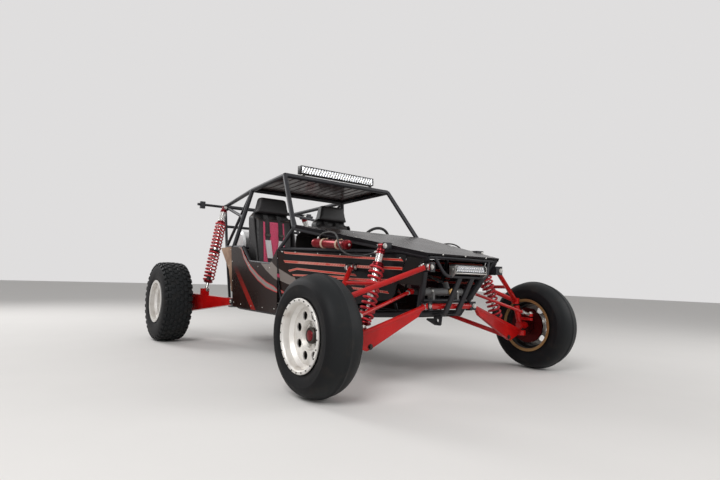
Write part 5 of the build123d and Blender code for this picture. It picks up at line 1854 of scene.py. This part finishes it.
def make_engine():
    """A small engine: sump, crankcase, two ribbed banks, intake runners, headers and belt drive."""
    piece = Piece("engine_parts", "engine_grey", "cast_aluminium", "machined_steel", "black_rubber",
                  "dark_bolt", "zinc")
    middle = -2475
    piece.add(block((400, 210, 60), 0.014), upright(middle, 0, 436))
    piece.add(block((430, 300, 150), 0.018), upright(middle, 0, 530))
    for index in range(7):
        piece.add(block((6, 312, 120), 0.002, 1), upright(middle - 180 + index * 60, 0, 530))
    for way in (-1, 1):
        lean = upright(middle, way * 105, 635) @ spun(-math.radians(ENGINE_BANK) * way, "X")
        piece.add(block((400, 150, 150), 0.012), lean, 1)
        piece.add(block((408, 164, 30), 0.008), lean @ by(0, 0, 70), 2)
        piece.add(block((390, 120, 46), 0.016, 3), lean @ by(0, 0, 100))
        for index in range(9):
            piece.add(block((5, 104, 8), 0.0015, 1), lean @ by(-160 + index * 40, 0, 124))
        for shift in (-150, -50, 50, 150):
            for across in (-68, 68):
                piece.add(hex_bolt(0.006, 0.007), lean @ by(shift, across, 85), 5)
        for shift in (-150, -50, 50, 150):
            ahead = middle + shift
            runner = ((0, 30, 775), (0, 70, 790), (0, 120, 770), (0, 128, 715))
            piece.add(pipe([at(ahead + x, way * y, z) for x, y, z in runner], 0.019), None, 1)
            header = ((0, 196, 640), (0, 248, 620), (-20, 258, 540), (-60, 250, 478),
                      (-2660 - ahead, 236, 456))
            piece.add(pipe([at(ahead + x, way * y, z) for x, y, z in header], 0.018), None, 2)
            piece.add(block((56, 10, 46), 0.004), upright(ahead, way * 196, 640), 2)
        piece.add(bar((-2690, way * 236, 456), (-2600, way * 240, 458), 32, 28, 0.006), None, 2)
    piece.add(block((330, 84, 44), 0.016, 3), upright(middle, 0, 783), 1)
    piece.add(bar((-2310, 0, 783), (-2256, 0, 783), 30, 28, 0.003), None, 2)
    for across, up, radius in ((0, 480, 66), (150, 560, 34), (-150, 590, 30), (0, 690, 46)):
        pulley = ((0, 0), (radius * 0.4, 0), (radius, 2), (radius, 5), (radius - 4, 9), (radius, 13),
                  (radius, 16), (radius * 0.4, 18), (0, 18))
        piece.turn(pulley, 44, aim(at(-2272, across, up), AHEAD), 2)
    course = ((-66, 470), (0, 413), (66, 470), (186, 552), (180, 590), (46, 700), (0, 738), (-46, 700),
              (-178, 612), (-178, 570), (-66, 470))
    piece.add(strap([at(-2261, y, z) for y, z in course], 13, AHEAD), None, 3)
    for ahead in (-2640, -2320):
        share = (ahead + 2220) / (-3000 + 2220)
        rail_y, rail_z = 400 - 100 * share, 378 - 48 * share
        for way in (-1, 1):
            foot = ((150, 470), (240, 440), (rail_y, rail_z + 34))
            piece.add(strap([at(ahead, way * y, z) for y, z in foot], 52, AHEAD, 0.008), None, 4)
            piece.add(drum(0.026, 0.022, 24, 0.003), upright(ahead, way * rail_y, rail_z + 14), 3)
            piece.add(hex_bolt(0.008, 0.008), upright(ahead, way * rail_y, rail_z + 38), 5)
    piece.done("chassis", "engine_metal", ("engine",))


def make_transaxle():
    """A ribbed casting with its bell, bolted side covers, output flanges and rear plate."""
    piece = Piece("transaxle_parts", "cast_aluminium", "machined_steel", "zinc")
    piece.add(bar((-2702, 0, 402), (-2748, 0, 402), 118, 48, 0.006))
    piece.add(block((210, 236, 190), 0.026, 3), upright(-2850, 0, 398))
    for index in range(5):
        piece.add(block((6, 250, 206), 0.002, 1), upright(-2770 - index * 38, 0, 398))
    for y, z in circle_points(108, 10):
        piece.add(hex_bolt(0.0065, 0.007), aim(at(-2748, y, 402 + z), BACK), 2)
    place = aim(at(-2790, 118, 390), LEFT)
    cover = ((0, 0), (96, 0), (96, 10), (90, 16), (64, 24), (58, 34), (50, 34), (50, 52), (0, 52))
    piece.turn(cover, 56, place, 0, True)
    piece.ring(((20, 46), (50.5, 46), (50.5, 51.8), (20, 51.8)), 48, place, 1, True)
    piece.add(repeated(hex_bolt(0.006, 0.007), 10, 84, 0, 16), place, 2, True)
    piece.add(block((14, 190, 160), 0.005), upright(-2962, 0, 398))
    for across in (-82, 0, 82):
        for up in (328, 468):
            piece.add(hex_bolt(0.006, 0.006), aim(at(-2969, across, up), BACK), 2)
    piece.add(bar((-2962, 40, 470), (-2910, 40, 500), 9, 16), None, 1)
    piece.done("chassis", "engine_metal", ("transaxle",))


def make_shaft_boots(side_name, side):
    """Ribbed rubber boots at both ends of a half shaft, with their clamps."""
    piece = Piece(f"shaft_boots_{side_name}", "black_rubber", "zinc")
    line = [(20, 0), (53, 0), (53.5, 8)]
    for index in range(6):
        low = 52.8 - 0.3765 * (19 + index * 12)
        line += [(low + 7, 13 + index * 12), (low, 19 + index * 12)]
    line += [(23, 88), (20.4, 88)]
    clip = ((53.4, 1), (54.6, 1), (54.6, 7), (53.4, 7))
    for start, way in ((-829, 1), (-310, -1)):
        place = wheel_place(*REAR_WHEEL, side) @ by(0, 0, start)
        for look, profile in enumerate((line, clip)):
            part = turned(profile, 44, True)
            bmesh.ops.scale(part, vec=(1, 1, way), verts=part.verts)
            piece.add(part, place, look)
    piece.done(f"wheel_rear_{side_name}", "hose_black")


# Fasteners on the sheets: node or piece, their (ahead, up) places and their radius
SHEET_BOLTS = (
    ("side_panel_pair", ((-1158, 870), (-1007, 864), (-763, 852), (-539, 842), (-260, 830), (-22, 815),
                         (-1130, 480), (-860, 486), (-560, 500), (-300, 520)), 0.0055),
    ("entry_panels", ((-1230, 410), (-1440, 408), (-1660, 408), (-1880, 410), (-2040, 420), (-2120, 800),
                      (-2090, 620), (-1340, 740), (-1560, 752), (-1740, 764)), 0.005),
    ("rear_quarter_panels", ((-2180, 915), (-2390, 922), (-2200, 760), (-2120, 560)), 0.005),
)


def make_panel_bolts():
    """Bolts along the edges of the side sheets, and stamped ribs with rivets on the roof."""
    piece = Piece("panel_bolts", "zinc", "roof_brown", "dark_bolt")
    for name, spots, radius in SHEET_BOLTS:
        target = bpy.data.objects.get(name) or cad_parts[name]
        for ahead, up in spots:
            spot, normal = met(target, at(ahead, 1000, up), (0, -1, 0))
            piece.add(button_head(radius, radius * 0.55), aim(spot, outward(normal)), 0, True)
    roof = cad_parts["roof_panel"]
    for across in range(-480, 481, 80):
        line = [met(roof, at(ahead, across, 1400), (0, 0, 1))[0] for ahead in (-1380, -1440, -1990)]
        piece.add(pipe([spot + mm(0, 0, -0.5) for spot in line], 0.0045, False), None, 1)
    ends = (-1345, -2030)
    for ahead in (-1345, -1500, -1680, -1860, -2030):
        for across in (520, 260) if ahead in ends else (522,):
            spot, _ = met(roof, at(ahead, across, 1700), (0, 0, -1))
            piece.add(button_head(0.006, 0.003), Matrix.Translation(spot), 2, True)
    piece.done("chassis", "shock_steel")


# The stage


def add_area(name, place, aim_at, size, power):
    lamp = bpy.data.lights.new(name, "AREA")
    lamp.shape = "DISK"
    lamp.size = size
    lamp.energy = power
    way = Vector(aim_at) - Vector(place)
    turn = way.to_track_quat("-Z", "Y").to_matrix().to_4x4()
    linked(name, lamp).matrix_world = Matrix.Translation(place) @ turn


# The camera at the photograph's place
CAMERA_PLACE = (3.807, -2.558, 0.668)
CAMERA_YAW = 142.95
CAMERA_PITCH = 4.54
CAMERA_ROLL = -1.84
CAMERA_LENS = 24.83


def add_camera():
    yaw, pitch, roll = (math.radians(a) for a in (CAMERA_YAW, CAMERA_PITCH, CAMERA_ROLL))
    ahead = Vector((math.cos(yaw) * math.cos(pitch), math.sin(yaw) * math.cos(pitch), math.sin(pitch)))
    right = ahead.cross(Vector((0, 0, 1))).normalized()
    down = ahead.cross(right)
    level_right = right * math.cos(roll) + down * math.sin(roll)
    level_down = down * math.cos(roll) - right * math.sin(roll)
    lens = bpy.data.cameras.new("photo_view")
    lens.lens = CAMERA_LENS
    lens.sensor_width = 36
    holder = linked("photo_view", lens)
    turned_to = Matrix((level_right, -level_down, -ahead)).transposed().to_4x4()
    holder.matrix_world = Matrix.Translation(CAMERA_PLACE) @ turned_to
    bpy.context.scene.camera = holder


def set_world():
    """A pale surround for what looks past the buggy, and a softer light from all round."""
    world = bpy.data.worlds.new("studio")
    bpy.context.scene.world = world
    f = Finish(world)
    soft = f.node("ShaderNodeBackground", None, {"Color": (1, 1, 1), "Strength": settings().surround})
    pale = f.node("ShaderNodeBackground", None, {"Color": (0.74, 0.73, 0.73), "Strength": 1.0})
    rays = f.node("ShaderNodeLightPath").socket.node.outputs
    straight, mirrored, through = (
        Value(f, rays[f"Is {way} Ray"]) for way in ("Camera", "Glossy", "Transmission"))
    seen = straight.most(mirrored).most(through)
    f.ended(f.node("ShaderNodeMixShader", None, {0: seen, 1: soft, 2: pale}), "ShaderNodeOutputWorld")


# Operators


COLOUR = {"subtype": "COLOR", "size": 3, "min": 0.0, "max": 1.0}


class BuggySettings(bpy.types.PropertyGroup):
    red_coat: FloatVectorProperty(
        name="Red coat", description="Powder coat of the arms", default=(0.52, 0.006, 0.006), **COLOUR)
    spring_red: FloatVectorProperty(
        name="Spring red", description="Coating of the coil springs", default=(0.46, 0.006, 0.018), **COLOUR)
    wheel_silver: FloatVectorProperty(
        name="Wheel silver", description="Metal of the wheels", default=(0.80, 0.78, 0.75), **COLOUR)
    seat_rose: FloatVectorProperty(
        name="Seat rose", description="Cloth of the seats", default=(0.95, 0.085, 0.21), **COLOUR)
    floor_colour: FloatVectorProperty(
        name="Floor", description="Colour of the studio floor", default=(0.80, 0.78, 0.76), **COLOUR)
    tread_pitches: IntProperty(
        name="Tread pitches", description="Blocks round each row of the rear tread", default=36, min=12,
        max=60)
    ring_bolts: IntProperty(
        name="Ring bolts", description="Small bolts round a front wheel's ring", default=24, min=8, max=40)
    spring_wire: FloatProperty(
        name="Spring wire", description="Diameter of the springs' wire", default=0.015, min=0.006, max=0.03,
        unit="LENGTH")
    pad_grain: FloatProperty(
        name="Pad grain", description="Size of a face on the cushions", default=0.006, min=0.004, max=0.02,
        unit="LENGTH")
    surround: FloatProperty(
        name="Surround", description="Strength of the light from all round", default=0.42, min=0.0, max=2.0)


class BUGGY_OT_finishes(bpy.types.Operator):
    """Give each node of the frame that stays in sight its finish"""

    bl_idname = "buggy.finishes"
    bl_label = "Frame finishes"

    def execute(self, context):
        for name, nodes in NODE_FINISHES:
            for node in nodes:
                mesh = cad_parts[node].data
                if not mesh.materials:
                    mesh.materials.append(None)
                for index in range(len(mesh.materials)):
                    mesh.materials[index] = finish(name)
        return {"FINISHED"}


class BUGGY_OT_wheels(bpy.types.Operator):
    """Add the four tyres and what is bolted to the wheels"""

    bl_idname = "buggy.wheels"
    bl_label = "Tyres and wheel fittings"

    def execute(self, context):
        for side_name, side in SIDES:
            make_front_tyre(side_name, side)
            make_front_wheel_body(side_name, side)
            make_rear_tyre(side_name, side)
            make_shaft_boots(side_name, side)
            for wheel in WHEELS:
                make_wheel_fittings(*wheel, side_name, side)
        return {"FINISHED"}


class BUGGY_OT_shocks(bpy.types.Operator):
    """Add the dampers and their wound springs"""

    bl_idname = "buggy.shocks"
    bl_label = "Shocks and springs"

    def execute(self, context):
        for shock in SHOCKS:
            make_shocks(*shock[:-1])
        make_coil_springs()
        return {"FINISHED"}


class BUGGY_OT_nose(bpy.types.Operator):
    """Add the hood, the nose's sheets, hoop, tow plate and red cross tube, and the sheets' fasteners"""

    bl_idname = "buggy.nose"
    bl_label = "Nose and sheets"

    def execute(self, context):
        make_side_panels()
        make_nose_panels()
        make_hood()
        make_nose_hoop()
        make_tow_plate()
        make_lower_pivot_tube()
        make_panel_bolts()
        return {"FINISHED"}


class BUGGY_OT_lamps(bpy.types.Operator):
    """Add the roof and nose lamps and the tail lamps"""

    bl_idname = "buggy.lamps"
    bl_label = "Lamps"

    def execute(self, context):
        for lamp in LAMPS:
            make_lamp(*lamp)
        make_tail_lamps()
        return {"FINISHED"}


class BUGGY_OT_suspension(bpy.types.Operator):
    """Add the lower arms and what the arms, the rack and the reservoirs are bolted and sealed with"""

    bl_idname = "buggy.suspension"
    bl_label = "Suspension"

    def execute(self, context):
        make_lower_arms()
        make_pivot_bolts()
        make_tie_rod_ends()
        make_rack_fittings()
        make_reservoirs()
        make_hoses()
        for side_name, side in SIDES:
            make_ball_boots(side_name, side)
            make_rack_boots(side_name, side)
        return {"FINISHED"}


class BUGGY_OT_cabin(bpy.types.Operator):
    """Add the seats with their cushions and straps, and the controls"""

    bl_idname = "buggy.cabin"
    bl_label = "Cabin"

    def execute(self, context):
        make_seat_shells()
        make_seat_pads()
        for side_name, side in SIDES:
            make_harness(side_name, side)
        make_steering_wheel()
        make_dash_fittings()
        make_foot_controls()
        return {"FINISHED"}


class BUGGY_OT_tail(bpy.types.Operator):
    """Add the engine, the transaxle and the tank's fittings"""

    bl_idname = "buggy.tail"
    bl_label = "Engine and tank"

    def execute(self, context):
        make_engine()
        make_transaxle()
        make_tank_fittings()
        return {"FINISHED"}


class BUGGY_OT_stage(bpy.types.Operator):
    """Add the floor, the studio light and the camera"""

    bl_idname = "buggy.stage"
    bl_label = "Stage"

    def execute(self, context):
        floor = bmesh.new()
        bmesh.ops.create_grid(floor, x_segments=1, y_segments=1, size=30)
        mesh = bpy.data.meshes.new("studio_floor")
        floor.to_mesh(mesh)
        floor.free()
        mesh.materials.append(finish("floor_pale"))
        stage = linked("studio_floor", mesh)
        set_world()
        add_area("key", (4.5, -5.5, 5.5), (0.2, 0, 0.6), 4.0, 300)
        add_area("fill", (5.0, 4.5, 3.5), (0.2, 0, 0.6), 4.0, 110)
        add_area("rim", (-5.5, -3.0, 4.5), (0, 0, 0.6), 3.0, 160)
        add_camera()
        context.scene.view_settings.view_transform = "Standard"
        return {"FINISHED"}


OPERATORS = (
    BUGGY_OT_finishes,
    BUGGY_OT_wheels,
    BUGGY_OT_shocks,
    BUGGY_OT_nose,
    BUGGY_OT_lamps,
    BUGGY_OT_suspension,
    BUGGY_OT_cabin,
    BUGGY_OT_tail,
    BUGGY_OT_stage,
)


class BUGGY_PT_panel(bpy.types.Panel):
    """Lists the buggy's pieces and their sizes"""

    bl_idname = "BUGGY_PT_panel"
    bl_label = "Sand buggy"
    bl_space_type = "VIEW_3D"
    bl_region_type = "UI"
    bl_category = "Buggy"

    def draw(self, context):
        for name in BuggySettings.__annotations__:
            self.layout.prop(context.scene.buggy, name)
        for operator in OPERATORS:
            self.layout.operator(operator.bl_idname)


CLASSES = (BuggySettings, *OPERATORS, BUGGY_PT_panel)


def register():
    for one in CLASSES:
        bpy.utils.register_class(one)
    bpy.types.Scene.buggy = PointerProperty(type=BuggySettings)


def unregister():
    del bpy.types.Scene.buggy
    for one in reversed(CLASSES):
        bpy.utils.unregister_class(one)


def main():
    register()
    for operator in OPERATORS:
        group, name = operator.bl_idname.split(".")
        getattr(getattr(bpy.ops, group), name)()


if __name__ == "__main__":
    main()
